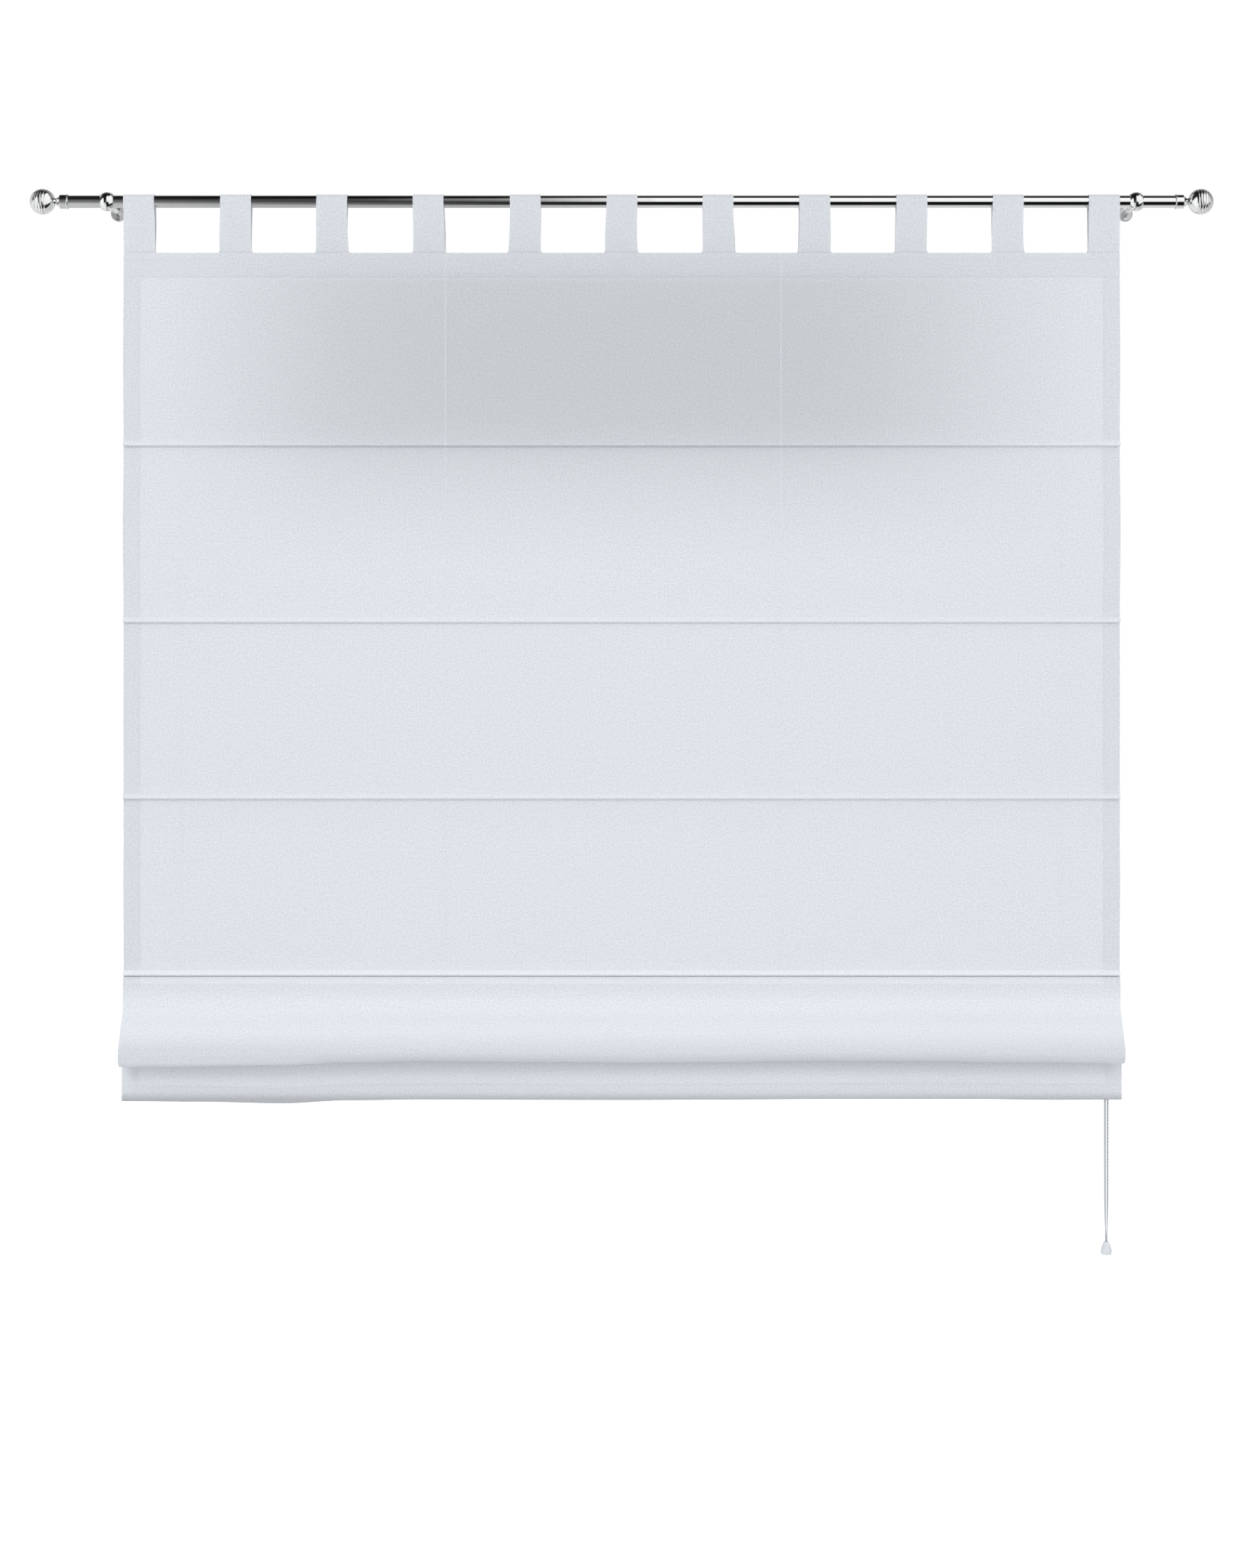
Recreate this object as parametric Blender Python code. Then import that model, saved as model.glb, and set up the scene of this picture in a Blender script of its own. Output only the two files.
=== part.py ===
"""A tab-top roman blind of white voile, drawn up by one fold, on a slim chrome curtain pole.

The origin is the middle of the left wall plate's back face. +X runs along the pole to the right,
+Y points into the wall and +Z points up. Every length is in metres.
"""
import math

import bmesh
import bpy

# Clearances
GAP = 0.0003
SCREW_CLEARANCE = 0.0004

# Pole and its finials
POLE_DIAMETER = 0.016
POLE_WALL = 0.001
POLE_OVERHANG = 0.0597
SOCKET_DEPTH = 0.009
COLLAR_DIAMETER = 0.018
COLLAR_LENGTH = 0.011
COLLAR_BEAD = 0.0006
COLLAR_BEAD_LENGTH = 0.0018
CONE_LENGTH = 0.0026
NECK_DIAMETER = 0.0098
NECK_LENGTH = 0.0039
NECK_GROOVE = 0.0009
NECK_GROOVE_WIDTH = 0.0014
BALL_DIAMETER = 0.033
BALL_GROOVE_DEPTH = 0.0005
BALL_GROOVE_WIDTH = 0.0013
BALL_GROOVES = (-0.004, 0.0, 0.004, 0.008)

# Brackets
BRACKET_CLEARANCE = 0.022
POLE_STANDOFF = 0.090
HOLDER_DIAMETER = 0.0245
HOLDER_WIDTH = 0.0165
ARM_DIAMETER = 0.008
SPIGOT_DIAMETER = 0.006
SET_SCREW_DIAMETER = 0.004
SET_SCREW_LENGTH = 0.0036
HEX_SOCKET_DIAMETER = 0.0022
HEX_SOCKET_DEPTH = 0.0016
PLATE_DIAMETER = 0.020
PLATE_THICKNESS = 0.005
PLATE_RIM = 0.0011
PLATE_RECESS = 0.001
PLATE_ROUNDING = 0.0008
PLATE_SOCKET_FLOOR = 0.0015
WALL_SCREW_OFFSET = 0.0064
WALL_SCREW_DIAMETER = 0.0022
WALL_SCREW_HEAD = 0.0038
WALL_SCREW_LENGTH = 0.020
WALL_SCREW_POINT = 0.003

# Voile
BLIND_WIDTH = 1.300
CLOTH = 0.0004
HEM_WIDTH = 0.022
HEADER_TOP = 0.067
HEADER_DEPTH = 0.0325
HEADER_TURN = 0.005
TAB_COUNT = 11
TAB_WIDTH = 0.040
TAB_THICKNESS = 0.0008
TAB_SEWN = 0.025

# Ribs, tucks and the drawn-up fold
RIB_COUNT = 5
FIRST_RIB = 0.3129
RIB_SPACING = 0.2305
RIB_DIAMETER = 0.003
RIB_OVERHANG = 0.001
RIB_DROP = 0.0045
TUCK_LEAD = 0.010
STACK_DROP = 0.018
FOLD_BULGE = 0.050
FOLD_RADIUS = 0.008
FOLD_SLACK = 0.0033
SKIRT_DROP = 0.1502
BAR_INSET = 0.002
BAR_HEIGHT = 0.012
BAR_THICKNESS = 0.002
BOTTOM_HEM = 0.020

# Rings, cords and the pull
RING_DIAMETER = 0.009
RING_SECTION = 0.0018
RING_LEAD = 0.008
CORD_DIAMETER = 0.0014
CORD_PITCH = 0.0018
CORD_BEND = 0.0068
CORD_TURN = 0.008
STRAND_OFFSETS = (0.0011, 0.0023, -0.0023, -0.0011)
STRAND_GATHER = 0.060
CORD_KNOT = 0.0064
PULL_INSET = 0.016
PULL_LEAD = 0.010
BELL_DROP = 1.3597
BELL_HEIGHT = 0.017
BELL_FLARE = 0.0109
BELL_SHOULDER = 0.0041
BELL_TOP = 0.0066
BELL_DIAMETER = 0.014
BELL_BORE = 0.0048
BELL_CAVITY = 0.0092
BELL_LIP = 0.0007
BELL_GROOVE = 0.00035
BELL_KNOT = 0.0072

# Shares and counts that give a shape and aren't lengths
CORD_SHARES = (-0.443, -0.177, 0.160, 0.442)
FOLD_FRONT = ((0.37, 0.33), (0.69, 0.49))
FOLD_FRONT_START = (0.6, 0.08, 0.17)
FOLD_NOSE = (0.91, 2.4)
FOLD_BACK = ((0.44, 0.19), (0.22, 0.43))
BELL_CURVE = 1.4
EIGHTH_TURN = 1 - math.cos(math.pi / 4)

# Facets round turned pieces
SIDES = 22
SMALL_SIDES = 12
RING_STEPS = 11
RING_SIDES = 5
CORD_STEPS = 2
BALL_STEPS = 11

# Finishes: colour, roughness, metallic
CHROME = ((0.78, 0.79, 0.81), 0.08, 1.0)
STEEL = ((0.60, 0.61, 0.62), 0.30, 1.0)
VOILE = ((0.80, 0.83, 0.87), 0.90, 0.0)
ROD_WHITE = ((0.83, 0.83, 0.82), 0.50, 0.0)
RING_CLEAR = ((0.85, 0.87, 0.88), 0.35, 0.0)
CORD_WHITE = ((0.84, 0.85, 0.86), 0.85, 0.0)
PULL_WHITE = ((0.82, 0.83, 0.85), 0.40, 0.0)

# Places worked out from the sizes
BRACKET_SPACING = BLIND_WIDTH + 2 * BRACKET_CLEARANCE
POLE_LENGTH = BRACKET_SPACING + 2 * POLE_OVERHANG
BAR_LENGTH = BLIND_WIDTH - 2 * BAR_INSET
CORD_COLUMNS = [BLIND_WIDTH * share for share in CORD_SHARES]
PULL_X = BLIND_WIDTH / 2 - PULL_INSET
X_MID = BRACKET_SPACING / 2
POLE_RADIUS = POLE_DIAMETER / 2
HALF_CLOTH = CLOTH / 2
HEM_BACK = HALF_CLOTH + CLOTH
FRONT_LEG_Y = HEM_BACK + GAP + TAB_THICKNESS / 2
BACK_LEG_Y = FRONT_LEG_Y + TAB_THICKNESS + GAP
FACING_Y = BACK_LEG_Y + TAB_THICKNESS / 2 + GAP + HALF_CLOTH
POLE_TO_PANEL = (FRONT_LEG_Y + BACK_LEG_Y) / 2
PANEL_Y = -POLE_STANDOFF - POLE_TO_PANEL
HAIRPIN_RADIUS = (CLOTH + GAP) / 2
LAYER_PITCH = 2 * HEM_BACK + GAP
POCKET_RADIUS = RIB_DIAMETER / 2 + GAP + HEM_BACK
POCKET_BACK_Y = -2 * HAIRPIN_RADIUS
TUCK_FRONT_Y = POCKET_BACK_Y - LAYER_PITCH
RIB_Y = POCKET_BACK_Y - POCKET_RADIUS
RING_REACH = RING_DIAMETER / 2
RING_Y = HALF_CLOTH + GAP + RING_REACH
HEAD_RING_Y = FACING_Y + RING_REACH
HEAD_RING_Z = -HEADER_TOP - HEADER_DEPTH / 2


def start_scene():
    """Empty the scene and add the empty that carries every piece."""
    for old in list(bpy.data.objects):
        bpy.data.objects.remove(old, do_unlink=True)
    carrier = bpy.data.objects.new("blind_origin", None)
    bpy.context.scene.collection.objects.link(carrier)
    return carrier


def finish_of(name, finish):
    """A Principled material of one piece's own."""
    colour, roughness, metallic = finish
    made = bpy.data.materials.new(name + "_finish")
    made.use_nodes = True
    surface = made.node_tree.nodes["Principled BSDF"]
    surface.inputs["Base Color"].default_value = (*colour, 1.0)
    surface.inputs["Roughness"].default_value = roughness
    surface.inputs["Metallic"].default_value = metallic
    return made


def place(name, data, finish, location=(0, 0, 0), rotation=(0, 0, 0)):
    """Link one piece under the carrier, at its place."""
    piece = bpy.data.objects.new(name, data)
    data.materials.append(finish_of(name, finish))
    bpy.context.scene.collection.objects.link(piece)
    piece.parent = CARRIER
    piece.location = location
    piece.rotation_euler = rotation
    return piece


def mesh_from(bm, name):
    """Turn a bmesh into a mesh whose faces point out."""
    bmesh.ops.recalc_face_normals(bm, faces=bm.faces)
    mesh = bpy.data.meshes.new(name)
    bm.to_mesh(mesh)
    bm.free()
    mesh.shade_smooth()
    mesh.set_sharp_from_angle(angle=math.radians(35))
    return mesh


def turned_mesh(name, outline, sides=SIDES, closed=False):
    """A solid turned about its own X axis from (along, radius) points."""
    bm = bmesh.new()
    points = [bm.verts.new((along, 0.0, radius)) for along, radius in outline]
    edges = [bm.edges.new(pair) for pair in zip(points, points[1:])]
    if closed:
        edges.append(bm.edges.new((points[-1], points[0])))
    bmesh.ops.spin(bm, geom=points + edges, cent=(0, 0, 0), axis=(1, 0, 0), dvec=(0, 0, 0),
                   angle=math.tau, steps=sides, use_merge=True, use_duplicate=False)
    bmesh.ops.remove_doubles(bm, verts=bm.verts, dist=1e-6)
    return mesh_from(bm, name)


def drill(piece, outline, location, rotation, sides=SMALL_SIDES):
    """Cut a turned hole out of a piece."""
    name = piece.name + "_hole"
    cutter = hidden_tool(name, turned_mesh(name, outline, sides), location, rotation)
    combine(piece, cutter, "DIFFERENCE")


def pin(start, end, radius):
    """The outline of a plain round pin."""
    return [(start, 0.0), (start, radius), (end, radius), (end, 0.0)]


def arc(centre, radius, start, end, steps):
    """Points on a circle, from one angle to another in degrees."""
    angles = [math.radians(start + (end - start) * i / steps) for i in range(steps + 1)]
    return [(centre[0] + radius * math.cos(a), centre[1] + radius * math.sin(a)) for a in angles]


def shifted(path, distance):
    """A path in a plane, moved to its left by a distance."""
    moved = []
    for i, point in enumerate(path):
        before = path[max(i - 1, 0)]
        after = path[min(i + 1, len(path) - 1)]
        into = _unit(before, point) if i else _unit(point, after)
        out = _unit(point, after) if i < len(path) - 1 else into
        along = (into[0] + out[0], into[1] + out[1])
        length = math.hypot(*along)
        along = (along[0] / length, along[1] / length)
        mitre = distance / (along[0] * into[0] + along[1] * into[1])
        moved.append((point[0] - along[1] * mitre, point[1] + along[0] * mitre))
    return moved


def _unit(start, end):
    """The direction from one point of a plane to another."""
    step = (end[0] - start[0], end[1] - start[1])
    length = math.hypot(*step)
    return (step[0] / length, step[1] / length)


def smooth_curve(points, steps):
    """Points on a smooth curve that passes through the given ones."""
    count = len(points)
    size = len(points[0])
    tangents = []
    for i in range(count):
        before = points[max(i - 1, 0)]
        after = points[min(i + 1, count - 1)]
        reach = math.dist(before, after)
        tangents.append([(after[k] - before[k]) / reach for k in range(size)])
    curve = [tuple(points[0])]
    for i in range(count - 1):
        span = math.dist(points[i], points[i + 1])
        for step in range(1, steps + 1):
            u = step / steps
            ends = (2 * u ** 3 - 3 * u ** 2 + 1, 3 * u ** 2 - 2 * u ** 3)
            pulls = (u ** 3 - 2 * u ** 2 + u, u ** 3 - u ** 2)
            curve.append(tuple(
                points[i][k] * ends[0] + points[i + 1][k] * ends[1]
                + span * (tangents[i][k] * pulls[0] + tangents[i + 1][k] * pulls[1])
                for k in range(size)))
    return curve


def cloth_mesh(name, path, width, thickness, hem_width=0.0):
    """Cloth that follows a path of (y, z) points and is as wide as width along X.

    The front is to the right of the path. Where hem_width is given, each side edge is turned
    once to the back, so it is a layer thicker there.
    """
    front = shifted(path, -thickness / 2)
    back = shifted(path, thickness / 2)
    hem = shifted(path, thickness / 2 + thickness)
    left = -width / 2
    right = width / 2
    bm = bmesh.new()
    rings = []
    for f, b, h in zip(front, back, hem):
        if hem_width:
            section = [(left, f), (left + hem_width, f), (right - hem_width, f), (right, f),
                       (right, h), (right - hem_width, h), (right - hem_width, b),
                       (left + hem_width, b), (left + hem_width, h), (left, h)]
        else:
            section = [(left, f), (right, f), (right, b), (left, b)]
        rings.append([bm.verts.new((x, y, z)) for x, (y, z) in section])
    corners = len(rings[0])
    for upper, lower in zip(rings, rings[1:]):
        for k in range(corners):
            nxt = (k + 1) % corners
            bm.faces.new((upper[k], upper[nxt], lower[nxt], lower[k]))
    for ring in (rings[0], rings[-1]):
        if hem_width:
            bm.faces.new([ring[k] for k in (0, 1, 7, 8, 9)])
            bm.faces.new([ring[k] for k in (1, 2, 6, 7)])
            bm.faces.new([ring[k] for k in (2, 3, 4, 5, 6)])
        else:
            bm.faces.new(ring)
    return mesh_from(bm, name)


def hidden_tool(name, mesh, location, rotation=(0, 0, 0)):
    """A shape that cuts or joins a piece and isn't one itself."""
    tool = bpy.data.objects.new(name, mesh)
    bpy.context.scene.collection.objects.link(tool)
    tool.parent = CARRIER
    tool.location = location
    tool.rotation_euler = rotation
    tool.hide_render = True
    tool.display_type = "WIRE"
    return tool


def combine(piece, tool, operation):
    """Join a tool to a piece or cut the tool out of it."""
    step = piece.modifiers.new("combine", "BOOLEAN")
    step.operation = operation
    step.object = tool


def ring_mesh(name, upright):
    """A moulded guide ring; an upright one has its hole along X, a flat one along Z."""
    outer = RING_REACH - RING_SECTION / 2
    outline = [(a, outer + r) for a, r in arc((0, 0), RING_SECTION / 2, 0, 360, RING_SIDES)[:-1]]
    mesh = turned_mesh(name, outline, RING_STEPS, closed=True)
    if not upright:
        bm = bmesh.new()
        bm.from_mesh(mesh)
        for vert in bm.verts:
            vert.co = (vert.co.z, vert.co.y, -vert.co.x)
        mesh = mesh_from(bm, name)
    return mesh


# Pole and finials
def ball_outline(centre, start_radius):
    """The finial's ball as turned points from its neck to its tip, with its ring grooves."""
    radius = BALL_DIAMETER / 2
    half = BALL_GROOVE_WIDTH / 2
    stops = []
    neck = math.asin(start_radius / radius)
    for i in range(BALL_STEPS + 1):
        angle = neck + (math.pi - neck) * i / BALL_STEPS
        stops.append(-radius * math.cos(angle))
    clear = [s for s in stops if all(abs(s - g) > BALL_GROOVE_WIDTH for g in BALL_GROOVES)]
    points = [(s, 0.0) for s in clear]
    for groove in BALL_GROOVES:
        points += [(groove - half, 0.0), (groove, BALL_GROOVE_DEPTH), (groove + half, 0.0)]
    return [(centre + s, math.sqrt(max(radius ** 2 - s ** 2, 0.0)) - cut) for s, cut in sorted(points)]


def make_pole():
    """The pole, a plain tube."""
    inner = POLE_RADIUS - POLE_WALL
    end = POLE_LENGTH / 2
    outline = [(end, POLE_RADIUS), (end, inner), (-end, inner), (-end, POLE_RADIUS)]
    mesh = turned_mesh("pole_tube", outline, SIDES, closed=True)
    place("pole_tube", mesh, CHROME, (X_MID, -POLE_STANDOFF, 0))


def finial_outline():
    """The finial from the floor of its socket over its collar and neck to its ball's tip."""
    socket = POLE_RADIUS + GAP
    collar = COLLAR_DIAMETER / 2
    neck = NECK_DIAMETER / 2
    neck_start = COLLAR_LENGTH + CONE_LENGTH
    neck_end = neck_start + NECK_LENGTH
    foot = neck - NECK_GROOVE
    ball_radius = BALL_DIAMETER / 2
    centre = neck_end + math.sqrt(ball_radius ** 2 - foot ** 2)
    bead = COLLAR_BEAD_LENGTH
    points = [(SOCKET_DEPTH, 0.0), (SOCKET_DEPTH, socket), (0.0, socket), (0.0, collar)]
    points += [(bead / 4, collar + COLLAR_BEAD), (bead * 3 / 4, collar + COLLAR_BEAD), (bead, collar)]
    points += [(COLLAR_LENGTH - COLLAR_BEAD, collar), (COLLAR_LENGTH, collar - COLLAR_BEAD)]
    groove = NECK_GROOVE_WIDTH / 2
    points += [(neck_start, neck), (neck_start + groove, foot)]
    points += [(neck_start + 2 * groove, neck), (neck_end - groove, neck)]
    return points + ball_outline(centre, foot)


def make_finials():
    """A finial pushed over each end of the pole."""
    mouth = POLE_LENGTH / 2 + GAP - SOCKET_DEPTH
    for side, direction in (("left", -1), ("right", 1)):
        name = "finial_" + side
        mesh = turned_mesh(name, finial_outline())
        turn = math.pi if direction < 0 else 0.0
        place(name, mesh, CHROME, (X_MID + direction * mouth, -POLE_STANDOFF, 0), (0, 0, turn))


# Brackets
OUT_OF_WALL = (0, 0, -math.pi / 2)
INTO_WALL = (0, 0, math.pi / 2)
DOWN = (0, math.pi / 2, 0)


def make_holder(side, x):
    """The round holder that the pole slides through, with its arm and set screw holes."""
    bore = POLE_RADIUS + GAP
    radius = HOLDER_DIAMETER / 2
    half = HOLDER_WIDTH / 2
    reach = math.degrees(math.asin(half / radius))
    outside = arc((0, 0), radius, 90 - reach, 90 + reach, 10)
    outline = outside + [(-half, bore), (half, bore)]
    name = "holder_" + side
    axis = (x, -POLE_STANDOFF, 0)
    piece = place(name, turned_mesh(name, outline, SIDES, closed=True), CHROME, axis)
    spigot = SPIGOT_DIAMETER / 2 + GAP
    drill(piece, pin(POLE_RADIUS / 2, HOLDER_DIAMETER, spigot), axis, INTO_WALL)
    screw = SET_SCREW_DIAMETER / 2 + GAP
    drill(piece, pin(POLE_RADIUS / 2, HOLDER_DIAMETER, screw), axis, DOWN)


def make_set_screw(side, x):
    """The set screw that grips the pole from below the holder, with its hex socket."""
    name = "set_screw_" + side
    tip = POLE_RADIUS + GAP
    end = tip + SET_SCREW_LENGTH
    radius = SET_SCREW_DIAMETER / 2
    bevel = radius / 5
    outline = [(tip, 0.0), (tip, radius - bevel), (tip + bevel, radius), (end - bevel, radius),
               (end, radius - bevel), (end, 0.0)]
    axis = (x, -POLE_STANDOFF, 0)
    piece = place(name, turned_mesh(name, outline, SMALL_SIDES), STEEL, axis, DOWN)
    socket = pin(end - HEX_SOCKET_DEPTH, end + HEX_SOCKET_DEPTH, HEX_SOCKET_DIAMETER / 2)
    drill(piece, socket, axis, DOWN, sides=6)


def make_arm(side, x):
    """The arm, screwed into the wall plate at one end and the holder at the other."""
    floor = PLATE_THICKNESS - PLATE_RECESS
    arm = ARM_DIAMETER / 2
    spigot = SPIGOT_DIAMETER / 2
    bevel = GAP * 2
    near = floor + GAP
    far = POLE_STANDOFF - HOLDER_DIAMETER / 2 - GAP
    outline = [(PLATE_SOCKET_FLOOR + GAP, 0.0), (PLATE_SOCKET_FLOOR + GAP, spigot), (near, spigot),
               (near, arm - bevel), (near + bevel, arm), (far - bevel, arm), (far, arm - bevel),
               (far, spigot), (POLE_STANDOFF - POLE_RADIUS - GAP, spigot),
               (POLE_STANDOFF - POLE_RADIUS - GAP, 0.0)]
    name = "arm_" + side
    place(name, turned_mesh(name, outline), CHROME, (x, 0, 0), OUT_OF_WALL)


def make_plate(side, x):
    """The wall plate: solid at its middle, dished in front, with two countersunk holes."""
    rim = PLATE_DIAMETER / 2
    inner = rim - PLATE_RIM
    floor = PLATE_THICKNESS - PLATE_RECESS
    socket = SPIGOT_DIAMETER / 2 + GAP
    rounding = arc((PLATE_THICKNESS - PLATE_ROUNDING, rim - PLATE_ROUNDING), PLATE_ROUNDING, 90, 0, 4)
    outline = [(0.0, 0.0), (0.0, rim)] + rounding
    outline += [(PLATE_THICKNESS, inner), (floor, inner - PLATE_RECESS / 2), (floor, socket)]
    outline += [(PLATE_SOCKET_FLOOR, socket), (PLATE_SOCKET_FLOOR, 0.0)]
    name = "wall_plate_" + side
    piece = place(name, turned_mesh(name, outline), CHROME, (x, 0, 0), OUT_OF_WALL)
    hole = WALL_SCREW_DIAMETER / 2 + SCREW_CLEARANCE
    sink = WALL_SCREW_HEAD / 2 + SCREW_CLEARANCE
    cut = [(-PLATE_RECESS, 0.0), (-PLATE_RECESS, hole), (floor - (sink - hole), hole), (floor, sink),
           (floor + PLATE_RECESS / 2, sink), (floor + PLATE_RECESS / 2, 0.0)]
    for z in (WALL_SCREW_OFFSET, -WALL_SCREW_OFFSET):
        drill(piece, cut, (x, 0, z), OUT_OF_WALL)


def make_wall_screws(side, x):
    """The two countersunk screws that hold a plate to the wall."""
    name = "wall_screw_" + side + "_"
    top = PLATE_THICKNESS - PLATE_RECESS
    shank = WALL_SCREW_DIAMETER / 2
    head = WALL_SCREW_HEAD / 2
    tip = top - WALL_SCREW_LENGTH
    outline = [(tip, 0.0), (tip + WALL_SCREW_POINT, shank), (top - (head - shank), shank), (top, head),
               (top, 0.0)]
    for level, z in (("upper", WALL_SCREW_OFFSET), ("lower", -WALL_SCREW_OFFSET)):
        screw = turned_mesh(name + level, outline, SMALL_SIDES)
        place(name + level, screw, STEEL, (x, 0, z), OUT_OF_WALL)


def make_brackets():
    """The left and the right bracket."""
    for side, x in (("left", 0.0), ("right", BRACKET_SPACING)):
        make_plate(side, x)
        make_wall_screws(side, x)
        make_arm(side, x)
        make_holder(side, x)
        make_set_screw(side, x)


# Tabs and header
def tab_path():
    """A tab from its sewn front end up over the pole and down to its sewn back end."""
    radius = POLE_RADIUS + GAP + TAB_THICKNESS / 2
    leg = (BACK_LEG_Y - FRONT_LEG_Y) / 2
    reach = math.hypot(leg, HEADER_TOP)
    lean = math.degrees(math.atan2(leg, HEADER_TOP))
    tangent = math.degrees(math.acos(radius / reach))
    start = 270 - lean - tangent
    over = arc((0, 0), radius, start, 180 - start, 12)
    sewn = HEADER_TOP + TAB_SEWN
    return [(-leg, -sewn), (-leg, -HEADER_TOP)] + over + [(leg, -HEADER_TOP), (leg, -sewn)]


def make_tabs():
    """The row of tabs, evenly spaced from edge to edge."""
    pitch = (BLIND_WIDTH - TAB_WIDTH) / (TAB_COUNT - 1)
    for i in range(TAB_COUNT):
        name = "tab_%02d" % (i + 1)
        x = X_MID + (i - (TAB_COUNT - 1) / 2) * pitch
        mesh = cloth_mesh(name, tab_path(), TAB_WIDTH, TAB_THICKNESS)
        place(name, mesh, VOILE, (x, -POLE_STANDOFF, 0))


def make_facing():
    """The strip behind the header, with the upright guide rings that are sewn fast to it.

    Its lower edge is turned in to the panel and stitched.
    """
    foot = HEADER_TOP + HEADER_DEPTH
    turn_y = HEM_BACK + GAP + HALF_CLOTH
    path = [(FACING_Y, -HEADER_TOP), (FACING_Y, -foot + 2 * HEADER_TURN),
            (FACING_Y - HALF_CLOTH, -foot + 1.5 * HEADER_TURN),
            (turn_y + HALF_CLOTH, -foot + HEADER_TURN), (turn_y, -foot + HEADER_TURN / 2), (turn_y, -foot)]
    mesh = cloth_mesh("header_facing", path, BLIND_WIDTH, CLOTH)
    facing = place("header_facing", mesh, VOILE, (X_MID, PANEL_Y, 0))
    ring = ring_mesh("header_ring", upright=True)
    columns = [x + RING_LEAD for x in CORD_COLUMNS] + [PULL_X - PULL_LEAD]
    for x in columns:
        seat = (X_MID + x, PANEL_Y + HEAD_RING_Y, HEAD_RING_Z)
        combine(facing, hidden_tool("header_ring", ring, seat), "UNION")


# The voile panel
def rib_seams():
    """The height of each tuck's seam; the last rib is drawn up under the one before it."""
    seams = [-FIRST_RIB - i * RIB_SPACING for i in range(RIB_COUNT - 1)]
    return seams + [seams[-1] - STACK_DROP]


def pocket_front(seam, spare):
    """From a seam down the front of its pocket to the middle of the rib's front."""
    centre = (RIB_Y, seam - RIB_DROP)
    radius = POCKET_RADIUS + spare
    top = (TUCK_FRONT_Y - spare, seam)
    reach = math.dist(top, centre)
    aim = math.degrees(math.atan2(top[1] - centre[1], top[0] - centre[0]))
    start = aim + math.degrees(math.acos(radius / reach))
    return [top] + arc(centre, radius, start, 180, 2)


def pocket_back(seam):
    """From the rib's front round below it, up to the seam and over its hairpin."""
    round_rib = arc((RIB_Y, seam - RIB_DROP), POCKET_RADIUS, 180, 360, 6)[1:]
    return round_rib + arc((-HAIRPIN_RADIUS, seam), HAIRPIN_RADIUS, 180, 0, 4)


def lean_in(start, end, steps):
    """An even S between two (y, z) points, upright at both ends."""
    points = []
    for i in range(steps):
        u = i / steps
        share = (1 - math.cos(math.pi * u)) / 2
        points.append((start[0] + (end[0] - start[0]) * share, start[1] + (end[1] - start[1]) * u))
    return points


def fold_path(seam_above, seam_below):
    """The cloth of the drawn-up fold, from under one tuck out, down, back and up to the next."""
    pocket_foot = seam_above - RIB_DROP - POCKET_RADIUS - HALF_CLOTH
    rib = seam_below - RIB_DROP
    rising_y = RIB_Y - POCKET_RADIUS - 2 * HAIRPIN_RADIUS
    falling_y = rising_y - LAYER_PITCH
    drop = RIB_SPACING / 2
    low = rib + RIB_DROP + STACK_DROP - drop - FOLD_SLACK
    round_y = -FOLD_BULGE + FOLD_RADIUS
    falling = lean_in((0.0, pocket_foot - GAP), (falling_y, seam_below + HEM_BACK * 2), 6)
    near, out, below = FOLD_FRONT_START
    down = [(falling_y, seam_below), (falling_y, rib)]
    down += [(falling_y * near - FOLD_BULGE * out, rib - drop * below)]
    down += [(-FOLD_BULGE * out, rib - drop * below) for out, below in FOLD_FRONT]
    down += [(-FOLD_BULGE * FOLD_NOSE[0], low + FOLD_RADIUS * FOLD_NOSE[1])]
    turn = arc((round_y, low + FOLD_RADIUS), FOLD_RADIUS, 180, 310, 5)
    up = [(-FOLD_BULGE * out, low + drop * above) for out, above in FOLD_BACK]
    up += [(rising_y - HALF_CLOTH, rib - drop * below), (rising_y, rib - GAP)]
    loop = smooth_curve(down + turn + up, 2)
    rise = pocket_front(seam_below, 2 * HAIRPIN_RADIUS)[::-1]
    over = arc((TUCK_FRONT_Y - HAIRPIN_RADIUS, seam_below), HAIRPIN_RADIUS, 180, 0, 4)[1:-1]
    return falling + loop + rise + over


def panel_path():
    """The voile from the header's top edge to the end of the bottom hem."""
    seams = rib_seams()
    path = [(0.0, -HEADER_TOP)]
    for i, seam in enumerate(seams):
        if i == RIB_COUNT - 1:
            path += fold_path(seams[i - 1], seam)
        else:
            path += lean_in((0.0, seam + TUCK_LEAD), (TUCK_FRONT_Y, seam), 4)
        path += pocket_front(seam, 0.0)
        path += pocket_back(seam)
    return path + bottom_hem(seams[-1] - SKIRT_DROP)


def bar_y():
    """How far the bottom bar's middle lies behind the panel."""
    return HEM_BACK + GAP + BAR_THICKNESS / 2


def bottom_hem(foot):
    """From the skirt round under the bottom bar and up to the hem's stitched edge."""
    radius = bar_y()
    centre = foot + radius + HALF_CLOTH
    under = arc((radius, centre), radius, 180, 360, 8)
    edge_y = 2 * HEM_BACK + GAP
    bar_top = centre + BAR_HEIGHT - BAR_THICKNESS / 2 + GAP
    hem_top = centre + BOTTOM_HEM
    return under + [(2 * radius, bar_top), (edge_y, (bar_top + hem_top) / 2), (edge_y, hem_top)]


def make_panel():
    """The voile, one cloth from header to bottom hem."""
    mesh = cloth_mesh("voile_panel", panel_path(), BLIND_WIDTH, CLOTH, HEM_WIDTH)
    place("voile_panel", mesh, VOILE, (X_MID, PANEL_Y, 0))


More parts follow.
